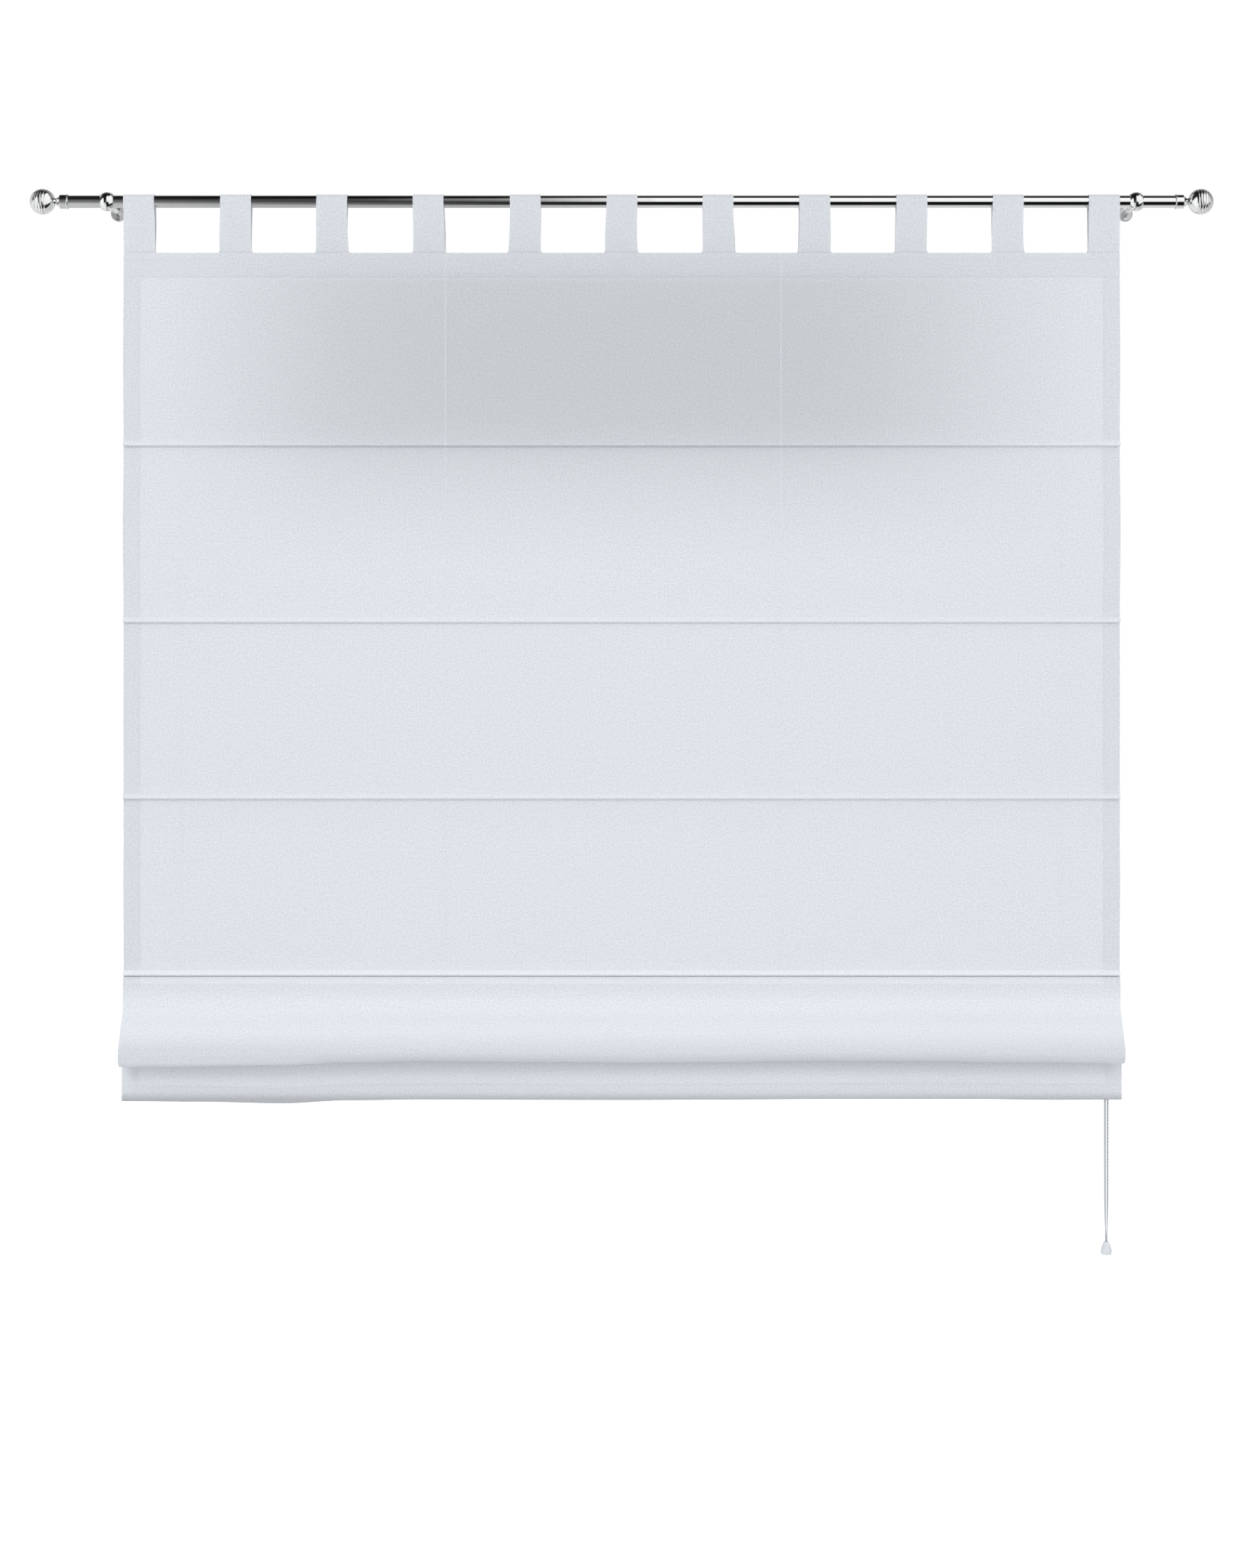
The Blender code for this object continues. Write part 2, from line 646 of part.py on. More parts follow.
# Ribs and bottom bar
def make_ribs():
    """A round rod in each tuck's pocket."""
    half = BLIND_WIDTH / 2 + RIB_OVERHANG
    radius = RIB_DIAMETER / 2
    bevel = radius / 4
    outline = [(-half, 0.0), (-half, radius - bevel), (-half + bevel, radius), (half - bevel, radius),
               (half, radius - bevel), (half, 0.0)]
    for i, seam in enumerate(rib_seams()):
        name = "rib_rod_%d" % (i + 1)
        mesh = turned_mesh(name, outline, SMALL_SIDES)
        place(name, mesh, ROD_WHITE, (X_MID, PANEL_Y + RIB_Y, seam - RIB_DROP))


def make_bottom_bar():
    """The flat bar with rounded edges that lies in the bottom hem."""
    radius = BAR_THICKNESS / 2
    rise = BAR_HEIGHT - BAR_THICKNESS
    section = arc((0, 0), radius, 180, 360, 6) + arc((0, rise), radius, 0, 180, 6)
    bm = bmesh.new()
    ends = [[bm.verts.new((x, y, z)) for y, z in section] for x in (-BAR_LENGTH / 2, BAR_LENGTH / 2)]
    for end in ends:
        bm.faces.new(end)
    bmesh.ops.bridge_loops(bm, edges=list(bm.edges))
    foot = rib_seams()[-1] - SKIRT_DROP + bar_y() + HALF_CLOTH
    place("bottom_bar", mesh_from(bm, "bottom_bar"), ROD_WHITE, (X_MID, PANEL_Y + bar_y(), foot))


# Guide rings
def make_rings():
    """A flat ring behind each tuck in each cord's column."""
    for i, seam in enumerate(rib_seams()):
        for k, x in enumerate(CORD_COLUMNS):
            name = "guide_ring_%d_%d" % (i + 1, k + 1)
            mesh = ring_mesh(name, upright=False)
            place(name, mesh, RING_CLEAR, (X_MID + x, PANEL_Y + RING_Y, seam))


# Cords, knots and the pull
def knot_z():
    """The height of the knots, each seated under a ring of the last tuck."""
    section = RING_SECTION / 2
    reach = RING_REACH - section
    apart = CORD_KNOT / 2 + section + GAP
    return rib_seams()[-1] - math.sqrt(apart ** 2 - reach ** 2)


def knot_swell():
    """The knot at a cord's start as (depth, radius) points, from its foot to its top."""
    half = CORD_KNOT / 2
    cord = CORD_DIAMETER / 2
    swell = []
    for i in range(1, 8):
        angle = math.pi * i / 8
        swell.append((half + half * math.cos(angle), max(half * math.sin(angle), cord)))
    return swell


def cord_route(k):
    """The hand-set points of one lift cord, from its knot up, along the header and down."""
    x = CORD_COLUMNS[k]
    row_y = HEAD_RING_Y + (k % 2 - 0.5) * CORD_PITCH
    row_z = HEAD_RING_Z + (0.5 - k // 2) * CORD_PITCH
    seams = rib_seams()
    start = knot_z() + CORD_KNOT / 2
    bend = CORD_BEND
    eighth = bend * EIGHTH_TURN
    route = [(x, RING_Y, start), (x, RING_Y, seams[0])]
    route += [(x, (RING_Y + row_y) / 2, (seams[0] + row_z) / 2), (x, row_y, row_z - 3 * bend)]
    route += [(x, row_y, row_z - bend), (x + eighth, row_y, row_z - eighth)]
    route += [(x + bend, row_y, row_z), (PULL_X - PULL_LEAD, row_y, row_z)]
    strand_x = PULL_X + STRAND_OFFSETS[k]
    turn_x = PULL_X + (0.5 - k // 2) * CORD_PITCH
    drop = CORD_TURN
    eighth = drop * EIGHTH_TURN
    route += [(turn_x - drop, row_y, row_z), (turn_x - eighth, row_y, row_z - eighth)]
    route += [(turn_x, row_y, row_z - drop), (strand_x, row_y, row_z - STRAND_GATHER)]
    route += [(strand_x, row_y, -BELL_DROP / 2), (strand_x, row_y, -BELL_DROP + STRAND_GATHER)]
    route += [(turn_x, row_y, -BELL_DROP + BELL_TOP), (turn_x, row_y, -BELL_DROP)]
    return route + [(turn_x, row_y, bell_knot_z() + BELL_KNOT / 2 + GAP)]


def make_cords():
    """The lift cords, each swelling into its own knot at its start."""
    for k in range(len(CORD_COLUMNS)):
        name = "lift_cord_%d" % (k + 1)
        curve = bpy.data.curves.new(name, "CURVE")
        curve.dimensions = "3D"
        curve.bevel_depth = CORD_DIAMETER / 2
        curve.bevel_resolution = 2
        curve.use_fill_caps = True
        swell = knot_swell()
        points = smooth_curve(cord_route(k), CORD_STEPS)
        x, y, start = points[0]
        below = [(x, y, start - along) for along, radius in swell]
        radii = [radius / (CORD_DIAMETER / 2) for along, radius in swell] + [1.0] * len(points)
        spline = curve.splines.new("POLY")
        spline.points.add(len(below + points) - 1)
        for point, place_of, radius in zip(spline.points, below + points, radii):
            point.co = (*place_of, 1.0)
            point.radius = radius
        place(name, curve, CORD_WHITE, (X_MID, PANEL_Y, 0))


def bell_knot_z():
    """The height of the knot that the bell hangs on."""
    return -BELL_DROP - BELL_SHOULDER - BELL_KNOT / 2 - (BELL_CAVITY - BELL_BORE) / 2


def make_bell():
    """The pull: a hollow bell with a knot inside, open below, with three turned grooves."""
    top = BELL_TOP / 2
    widest = BELL_DIAMETER / 2
    bore = BELL_BORE / 2
    cavity = BELL_CAVITY / 2
    outside = [(0.0, top - BELL_GROOVE), (BELL_GROOVE, top)]
    for i in range(1, 8):
        u = i / 8
        radius = top + (widest - top) * math.sin(u * math.pi / 2) ** BELL_CURVE
        outside.append((BELL_FLARE * u, radius - (BELL_GROOVE if i % 2 else 0.0)))
    curl = widest - cavity - BELL_LIP
    lip = [(BELL_FLARE + (BELL_HEIGHT - BELL_FLARE) * along, cavity + BELL_LIP + curl * out)
           for along, out in arc((0, 0), 1.0, 90, 0, 6)]
    inside = [(BELL_HEIGHT, cavity + GAP), (BELL_HEIGHT - GAP, cavity)]
    inside += [(BELL_SHOULDER + (cavity - bore), cavity), (BELL_SHOULDER, bore), (0.0, bore)]
    mesh = turned_mesh("pull_bell", outside + lip + inside, closed=True)
    y = PANEL_Y + HEAD_RING_Y
    place("pull_bell", mesh, PULL_WHITE, (X_MID + PULL_X, y, -BELL_DROP), DOWN)
    bm = bmesh.new()
    bmesh.ops.create_icosphere(bm, subdivisions=2, radius=BELL_KNOT / 2)
    knot = mesh_from(bm, "bell_knot")
    place("bell_knot", knot, CORD_WHITE, (X_MID + PULL_X, y, bell_knot_z()))


CARRIER = start_scene()
make_pole()
make_finials()
make_brackets()
make_tabs()
make_facing()
make_panel()
make_ribs()
make_bottom_bar()
make_rings()
make_cords()
make_bell()
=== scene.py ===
import math

import bmesh
import bpy
from mathutils import Matrix, Vector


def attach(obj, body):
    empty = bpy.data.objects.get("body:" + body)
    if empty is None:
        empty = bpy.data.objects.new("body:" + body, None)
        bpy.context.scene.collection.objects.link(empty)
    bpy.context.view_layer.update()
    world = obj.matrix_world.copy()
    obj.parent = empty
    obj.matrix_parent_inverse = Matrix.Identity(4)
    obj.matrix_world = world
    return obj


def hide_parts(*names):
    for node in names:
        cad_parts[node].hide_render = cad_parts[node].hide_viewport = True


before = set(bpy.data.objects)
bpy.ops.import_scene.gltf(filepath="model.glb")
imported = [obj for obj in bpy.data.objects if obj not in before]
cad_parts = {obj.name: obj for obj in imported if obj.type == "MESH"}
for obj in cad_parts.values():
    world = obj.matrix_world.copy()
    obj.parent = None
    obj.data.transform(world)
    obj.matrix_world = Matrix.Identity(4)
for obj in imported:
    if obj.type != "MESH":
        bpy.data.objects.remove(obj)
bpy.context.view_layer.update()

# Camera and studio
# The blind hangs 4 m in front of a level camera, over a plain pale floor. A soft key lamp stands
# above and to the left, a fill lamp to the right, and the rest of the light comes from all round.
blind_width = 1.3
half_width = blind_width / 2
blind_middle = 0.672
panel_y = -0.09185

camera_data = bpy.data.cameras.new("front_camera")
camera_data.sensor_width = 36.0
camera_data.lens = 70.3
camera = bpy.data.objects.new("front_camera", camera_data)
camera.location = (0.6796, -4.0919, -0.761)
camera.rotation_euler = (math.radians(90), 0, 0)
bpy.context.scene.collection.objects.link(camera)
bpy.context.scene.camera = camera
bpy.context.scene.view_settings.view_transform = "Standard"


def fed(tree, node, inputs):
    """Feeds inputs with plain values or other nodes' outputs, and gives back the node's outputs."""
    for socket, value in inputs.items():
        if isinstance(value, bpy.types.NodeSocket):
            tree.links.new(value, node.inputs[socket])
        else:
            node.inputs[socket].default_value = value
    return node.outputs


def added(tree, kind, inputs):
    return fed(tree, tree.nodes.new(kind), inputs)


def math_out(tree, operation, *values):
    node = tree.nodes.new("ShaderNodeMath")
    node.operation = operation
    return fed(tree, node, dict(enumerate(values)))[0]


def mixed(tree, share, first, second):
    """The first colour where the share is 0 and the second where it is 1."""
    node = tree.nodes.new("ShaderNodeMix")
    node.data_type = "RGBA"
    return fed(tree, node, {"Factor": share, 6: first, 7: second})[2]


def ramp_out(tree, source, stops, ease="LINEAR"):
    """A colour ramp of (position, grey or colour) stops over a value."""
    node = tree.nodes.new("ShaderNodeValToRGB")
    ramp = node.color_ramp
    ramp.interpolation = ease
    while len(ramp.elements) < len(stops):
        ramp.elements.new(0.5)
    for element, (position, tone) in zip(ramp.elements, stops):
        element.position = position
        element.color = (*tone, 1) if isinstance(tone, tuple) else (tone, tone, tone, 1)
    return fed(tree, node, {"Fac": source})["Color"]


def build_studio():
    world = bpy.data.worlds.new("studio")
    bpy.context.scene.world = world
    world.use_nodes = True
    tree = world.node_tree
    direction = added(tree, "ShaderNodeTexCoord", {})["Generated"]
    parts = added(tree, "ShaderNodeSeparateXYZ", {"Vector": direction})
    front = math_out(tree, "MULTIPLY", parts["Y"], -1.0)
    height = math_out(tree, "ARCTAN2", parts["Z"], front)
    turn = math_out(tree, "MULTIPLY_ADD", height, 0.5 / math.pi, 0.467)
    # What the chrome sees at each angle, from straight behind over below, the front and above to
    # straight behind again. The dark cards spread towards the left end, and a lit wall closes it off.
    # The first view is the leftmost one, and each further one takes over to the right of its edge.
    chrome_view = ramp_out(tree, turn, [
        (0.0, 0.80), (0.24, 0.85), (0.30, 0.98), (0.57, 0.98),
        (0.61, 0.03), (0.74, 0.01), (0.78, 0.50), (1.0, 0.70)])
    views = [
        (-0.60, [(0.0, 0.70), (0.22, 0.85), (0.36, 0.80), (0.42, 0.10), (0.47, 0.01), (0.78, 0.01),
                 (0.84, 0.30), (1.0, 0.60)]),
        (-0.22, [(0.0, 0.55), (0.22, 0.55), (0.32, 0.55), (0.36, 0.42), (0.40, 0.28), (0.44, 0.20),
                 (0.50, 0.14), (0.55, 0.055), (0.60, 0.015), (0.76, 0.005), (0.82, 0.20), (1.0, 0.55)]),
        (-0.155, [(0.0, 0.55), (0.23, 0.42), (0.30, 0.38), (0.36, 0.25), (0.43, 0.11), (0.50, 0.065),
                  (0.56, 0.04), (0.61, 0.006), (0.76, 0.003), (0.82, 0.25), (1.0, 0.58)]),
        (-0.115, [(0.0, 0.55), (0.23, 0.36), (0.30, 0.20), (0.36, 0.10), (0.43, 0.05), (0.48, 0.045),
                  (0.55, 0.07), (0.59, 0.045), (0.63, 0.003), (0.76, 0.003), (0.82, 0.25), (1.0, 0.60)]),
        (-0.065, [(0.0, 0.52), (0.23, 0.36), (0.27, 0.16), (0.31, 0.02), (0.42, 0.02), (0.455, 0.09),
                  (0.51, 0.21), (0.56, 0.32), (0.60, 0.20), (0.635, 0.01), (0.76, 0.003), (0.82, 0.25),
                  (1.0, 0.60)]),
        (-0.02, [(0.0, 0.75), (0.225, 0.62), (0.262, 0.12), (0.30, 0.005), (0.42, 0.005), (0.455, 0.85),
                 (0.52, 1.0), (0.63, 1.0), (0.66, 0.03), (0.76, 0.003), (0.81, 0.25), (1.0, 0.60)]),
        (0.38, [(0.0, 0.60), (0.22, 0.55), (0.26, 0.02), (0.33, 0.02), (0.38, 0.9), (0.70, 1.0),
                (0.75, 0.10), (0.82, 0.35), (1.0, 0.60)]),
    ]
    for edge, stops in views:
        side = added(tree, "ShaderNodeMapRange",
                     {"Value": parts["X"], "From Min": edge - 0.02, "From Max": edge + 0.03})
        chrome_view = mixed(tree, side["Result"], chrome_view, ramp_out(tree, turn, stops))
    rays = added(tree, "ShaderNodeLightPath", {})
    daylight = added(tree, "ShaderNodeMapRange",
                     {"Value": parts["Z"], "From Min": -1.0, "To Min": 0.40, "To Max": 0.88})
    soft = mixed(tree, rays["Is Glossy Ray"], daylight["Result"], chrome_view)
    seen = math_out(tree, "MAXIMUM", rays["Is Camera Ray"], rays["Is Transmission Ray"])
    fed(tree, tree.nodes["Background"], {"Color": mixed(tree, seen, soft, (1, 1, 1, 1))})


build_studio()

for lamp_name, place, power, size in (("key_lamp", (-0.8, -3.4, 1.0), 40.0, 1.8),
                                      ("fill_lamp", (2.5, -3.6, -0.2), 28.0, 2.0)):
    lamp_data = bpy.data.lights.new(lamp_name, "AREA")
    lamp_data.energy = power
    lamp_data.size = size
    lamp = bpy.data.objects.new(lamp_name, lamp_data)
    lamp.location = place
    aim = Vector((blind_middle, panel_y, -0.65)) - Vector(place)
    lamp.rotation_euler = aim.to_track_quat("-Z", "Y").to_euler()
    lamp.visible_camera = False
    lamp.visible_glossy = False
    bpy.context.scene.collection.objects.link(lamp)


def new_paint(name):
    """A new material, with its node tree and its Principled shader."""
    paint = bpy.data.materials.new(name)
    paint.use_nodes = True
    return paint, paint.node_tree, paint.node_tree.nodes["Principled BSDF"]


floor_mesh = bpy.data.meshes.new("floor")
floor_corners = [(x, y, -2.2) for x, y in ((-60, -20), (60, -20), (60, 90), (-60, 90))]
floor_mesh.from_pydata(floor_corners, [], [(0, 1, 2, 3)])
floor = bpy.data.objects.new("floor", floor_mesh)
bpy.context.scene.collection.objects.link(floor)
floor_paint, floor_tree, floor_surface = new_paint("floor_paint")
floor_rays = added(floor_tree, "ShaderNodeLightPath", {})
fed(floor_tree, floor_surface, {
    "Base Color": (0.86, 0.86, 0.86, 1), "Roughness": 0.9, "Specular IOR Level": 0.0,
    "Emission Color": (1, 1, 1, 1),
    "Emission Strength": math_out(floor_tree, "MULTIPLY", floor_rays["Is Camera Ray"], 0.48)})
floor_mesh.materials.append(floor_paint)
floor.visible_glossy = False

# Wall plates, arms, holders, pole and finials
# Everything that carries the blind is turned or drawn steel, polished and chrome plated. The plates
# are screwed to the wall, the arms are screwed into them, and the holders sit on the arms' ends.
pole_radius = 0.008
pole_wall = 0.001
pole_end = 0.7317
pole_y = -0.090
slide_fit = 0.0003
socket_depth = 0.009


def new_group(kind, name, takes, gives):
    """A node group with named sockets: its tree, what comes in, and the node that it puts out by."""
    tree = bpy.data.node_groups.new(name, kind)
    for way, sockets in (("INPUT", takes), ("OUTPUT", gives)):
        for label, sort in sockets.items():
            tree.interface.new_socket(label, in_out=way, socket_type="NodeSocket" + sort)
    return tree, tree.nodes.new("NodeGroupInput").outputs, tree.nodes.new("NodeGroupOutput")


def grouped(tree, group, inputs):
    node = tree.nodes.new("ShaderNodeGroup")
    node.node_tree = group
    return fed(tree, node, inputs)


def noise(tree, vector, scale, detail=2.0, roughness=0.5):
    return added(tree, "ShaderNodeTexNoise",
                 {"Vector": vector, "Scale": scale, "Detail": detail, "Roughness": roughness})["Fac"]


def stretched(tree, vector, factors):
    node = tree.nodes.new("ShaderNodeVectorMath")
    node.operation = "MULTIPLY"
    return fed(tree, node, {0: vector, 1: factors})["Vector"]


def bump(tree, height, strength, distance):
    return added(tree, "ShaderNodeBump",
                 {"Height": height, "Strength": strength, "Distance": distance})["Normal"]


def polish_group():
    """Faint hairlines and smudges of handled chrome."""
    tree, given, result = new_group("ShaderNodeTree", "chrome handling marks",
                                    {"Vector": "Vector", "Mark Size": "Float", "Hairlines": "Float"},
                                    {"Roughness": "Float", "Tint": "Color", "Height": "Float"})
    smudge = noise(tree, given["Vector"], given["Mark Size"], 3.0)
    hairlines = noise(tree, stretched(tree, given["Vector"], (1.0, 0.06, 0.06)), given["Hairlines"])
    fed(tree, result, {
        "Roughness": ramp_out(tree, smudge, [(0.35, 0.03), (0.75, 0.08)]),
        "Tint": ramp_out(tree, smudge, [(0.3, (0.96, 0.965, 0.97)), (0.8, (0.91, 0.915, 0.925))]),
        "Height": hairlines})
    return tree


handling = polish_group()


def chrome_paint(name, mark_size, relief=0.02, satin=None):
    """Plated steel, polished as its handling marks leave it or else of an even satin roughness."""
    paint, tree, surface = new_paint(name)
    place = added(tree, "ShaderNodeTexCoord", {})["Object"]
    marks = grouped(tree, handling, {"Vector": place, "Mark Size": mark_size, "Hairlines": 2500.0})
    fed(tree, surface, {"Base Color": marks["Tint"], "Metallic": 1.0,
                        "Roughness": satin or marks["Roughness"],
                        "Normal": bump(tree, marks["Height"], relief, 0.00005)})
    return paint


pole_chrome = chrome_paint("pole_chrome_plating", 60.0)
fitting_chrome = chrome_paint("fitting_chrome_plating", 110.0)
plate_chrome = chrome_paint("satin_chrome_plating", 200.0, satin=0.48)


def eased(outline, radius):
    """A turned outline with its corners rounded off."""
    points = [Vector(p) for p in outline]
    soft = [points[0]]
    steps = 4
    for before, corner, after in zip(points, points[1:], points[2:]):
        back, ahead = before - corner, after - corner
        if back.angle(ahead, math.pi) > math.radians(165):
            soft.append(corner)
            continue
        reach = min(radius, back.length * 0.4, ahead.length * 0.4)
        hold = reach * 1.15
        back.normalize()
        ahead.normalize()
        start, end = corner + back * reach, corner + ahead * reach
        soft.append(corner + back * hold)
        for i in range(steps + 1):
            u = i / steps
            soft.append(start * (1 - u) ** 2 + corner * 2 * u * (1 - u) + end * u ** 2)
        soft.append(corner + ahead * hold)
    return soft + [points[-1]]


def stand(name, mesh):
    """Stands a finished mesh in its place as a piece that rides on the one body."""
    piece = bpy.data.objects.new(name, mesh)
    bpy.context.scene.collection.objects.link(piece)
    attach(piece, "root")
    return piece


def turned(name, outline, centre, axis, paint, sides, closed=False):
    """A solid turned about an axis from (along, radius) points, standing in its place."""
    bm = bmesh.new()
    turn = Vector((1, 0, 0)).rotation_difference(Vector(axis)).to_matrix().to_4x4()
    points = [bm.verts.new((p[0], 0.0, p[1])) for p in outline]
    edges = [bm.edges.new(pair) for pair in zip(points, points[1:])]
    if closed:
        edges.append(bm.edges.new((points[-1], points[0])))
    bmesh.ops.spin(bm, geom=points + edges, cent=(0, 0, 0), axis=(1, 0, 0), dvec=(0, 0, 0),
                   angle=math.tau, steps=sides, use_merge=True, use_duplicate=False)
    bmesh.ops.remove_doubles(bm, verts=bm.verts, dist=1e-6)
    bmesh.ops.dissolve_degenerate(bm, edges=bm.edges, dist=1e-7)
    bmesh.ops.transform(bm, matrix=Matrix.Translation(centre) @ turn, verts=bm.verts)
    bmesh.ops.recalc_face_normals(bm, faces=bm.faces)
    mesh = bpy.data.meshes.new(name)
    bm.to_mesh(mesh)
    bm.free()
    mesh.shade_smooth()
    mesh.set_sharp_from_angle(angle=math.radians(40))
    mesh.materials.append(paint)
    return stand(name, mesh)


for side, x in (("left", 0.0), ("right", 2 * blind_middle)):
    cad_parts["wall_plate_" + side].material_slots[0].material = plate_chrome

    # The arm has a thinner spigot at each end, one in the plate and one in the holder
    arm_radius, spigot = 0.004, 0.003
    in_plate, plate_front, holder_back, in_holder = 0.0018, 0.0043, 0.07745, 0.0817
    arm_outline = [(in_plate, 0.0), (in_plate, spigot), (plate_front, spigot), (plate_front, arm_radius),
                   (holder_back, arm_radius), (holder_back, spigot), (in_holder, spigot), (in_holder, 0.0)]
    arm = turned("arm_chrome_" + side, eased(arm_outline, 0.0004), (x, 0, 0), (0, -1, 0), fitting_chrome, 40)
    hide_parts("arm_" + side)

    half, barrel, chamfer = 0.00825, 0.01225, 0.0003
    bore = pole_radius + slide_fit
    reach = math.asin(half / barrel)
    angles = [-reach + 2 * reach * i / 28 for i in range(29)]
    holder_outline = [(0.0, bore), (-half + chamfer, bore), (-half, bore + chamfer)]
    holder_outline += [(barrel * math.sin(a), barrel * math.cos(a)) for a in angles]
    holder_outline += [(half, bore + chamfer), (half - chamfer, bore)]
    holder = turned("holder_chrome_" + side, holder_outline, (x, pole_y, 0), (1, 0, 0),
                    fitting_chrome, 96, True)
    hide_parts("holder_" + side)

pole_inside = pole_radius - pole_wall
pole_outline = eased([(0.0, pole_radius), (pole_end, pole_radius),
                      (pole_end, pole_inside), (0.0, pole_inside)], 0.0002)
pole_outline += [(-p[0], p[1]) for p in reversed(pole_outline)]
pole = turned("pole_chrome_tube", pole_outline, (blind_middle, pole_y, 0), (1, 0, 0), pole_chrome, 96, True)
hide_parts("pole_tube")


def finial_outline():
    """From the floor of its socket over bead, collar, cone and neck to the grooved ball's tip."""
    socket = pole_radius + slide_fit
    collar, bead_width, bead_height, lip = 0.009, 0.0018, 0.0006, 0.00001
    neck, waist = 0.0047, 0.0009
    points = [(socket_depth, 0.0), (socket_depth, socket), (0.0, socket)]
    for i in range(9):
        angle = math.pi * i / 8
        points.append((-lip + bead_width * (1 - math.cos(angle)) / 2,
                       collar + bead_height * math.sin(angle)))
    points += eased([(bead_width, collar), (0.0108, collar), (0.0113, 0.0072), (0.0152, neck)], 0.0006)[1:]
    points += [(0.0152 + 0.0011 * i / 8, neck - waist * math.sin(math.pi * i / 8)) for i in range(1, 9)]
    points += [(0.0163 + 0.0007 * i / 4, neck - 0.0003 * i / 4) for i in range(1, 4)]
    ball = 0.0165
    centre = 0.0175 + math.sqrt(ball ** 2 - 0.004 ** 2)
    start = math.asin(0.0043 / ball)
    groove_depth, groove_half = 0.0005, 0.0008
    for i in range(121):
        angle = start + (math.pi - start) * i / 120
        along = -ball * math.cos(angle)
        cut = sum(groove_depth * max(0.0, 1 - (abs(along - groove) / groove_half) ** 2)
                  for groove in (-0.004, 0.0, 0.004, 0.008))
        points.append((centre + along, max(ball * math.sin(angle) - cut, 0.0)))
    points[-1] = (centre + ball, 0.0)
    return points


for side, direction in (("left", -1), ("right", 1)):
    mouth = blind_middle + direction * (pole_end + slide_fit - socket_depth)
    finial = turned("finial_chrome_" + side, finial_outline(), (mouth, pole_y, 0), (direction, 0, 0),
                    fitting_chrome, 120)
    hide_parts("finial_" + side)

# Screws
# Two countersunk steel screws hold each plate to the wall, and a small hexagon socket screw under
# each holder grips the pole. They are zinc plated steel with a brushed look.
screw_steel = chrome_paint("screw_zinc_plating", 300.0, relief=0.3)
for node_name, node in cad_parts.items():
    if "screw" in node_name:
        node.material_slots[0].material = screw_steel

# Voile
# The blind is sewn from a sheer white polyester voile with a crepe grain. It is woven finely enough
# to let the daylight and the shapes behind it through, and wherever it lies double it looks denser.
seams = [-0.3129, -0.5434, -0.7739, -1.0044, -1.0224]
cord_columns = [blind_width * share for share in (-0.443, -0.177, 0.160, 0.442)]


def voile_group():
    """Threads, crepe grain and slubs of the cloth, laid out by its own UV map in metres."""
    tree, given, result = new_group("ShaderNodeTree", "voile weave",
                                    {"Vector": "Vector", "Threads": "Float", "Grain": "Float"},
                                    {"Shade": "Float", "Density": "Float", "Height": "Float"})
    threads = []
    for direction in ("X", "Y"):
        wave = tree.nodes.new("ShaderNodeTexWave")
        wave.bands_direction = direction
        threads.append(fed(tree, wave, {"Vector": given["Vector"], "Scale": given["Threads"],
                                        "Distortion": 0.8, "Detail": 1.0, "Detail Scale": 0.15})["Fac"])
    weave = math_out(tree, "MULTIPLY", *threads)
    grain = noise(tree, given["Vector"], given["Grain"], 2.5, 0.6)
    slub = noise(tree, stretched(tree, given["Vector"], (25.0, 700.0, 1.0)), 1.0)
    grain_shade = ramp_out(tree, grain, [(0.32, 0.83), (0.66, 1.0)])
    slub_shade = ramp_out(tree, slub, [(0.30, 0.985), (0.70, 1.0)])
    fed(tree, result, {"Shade": math_out(tree, "MULTIPLY", grain_shade, slub_shade),
                       "Density": math_out(tree, "MULTIPLY_ADD", weave, -0.08, 1.02),
                       "Height": math_out(tree, "ADD", grain, weave)})
    return tree


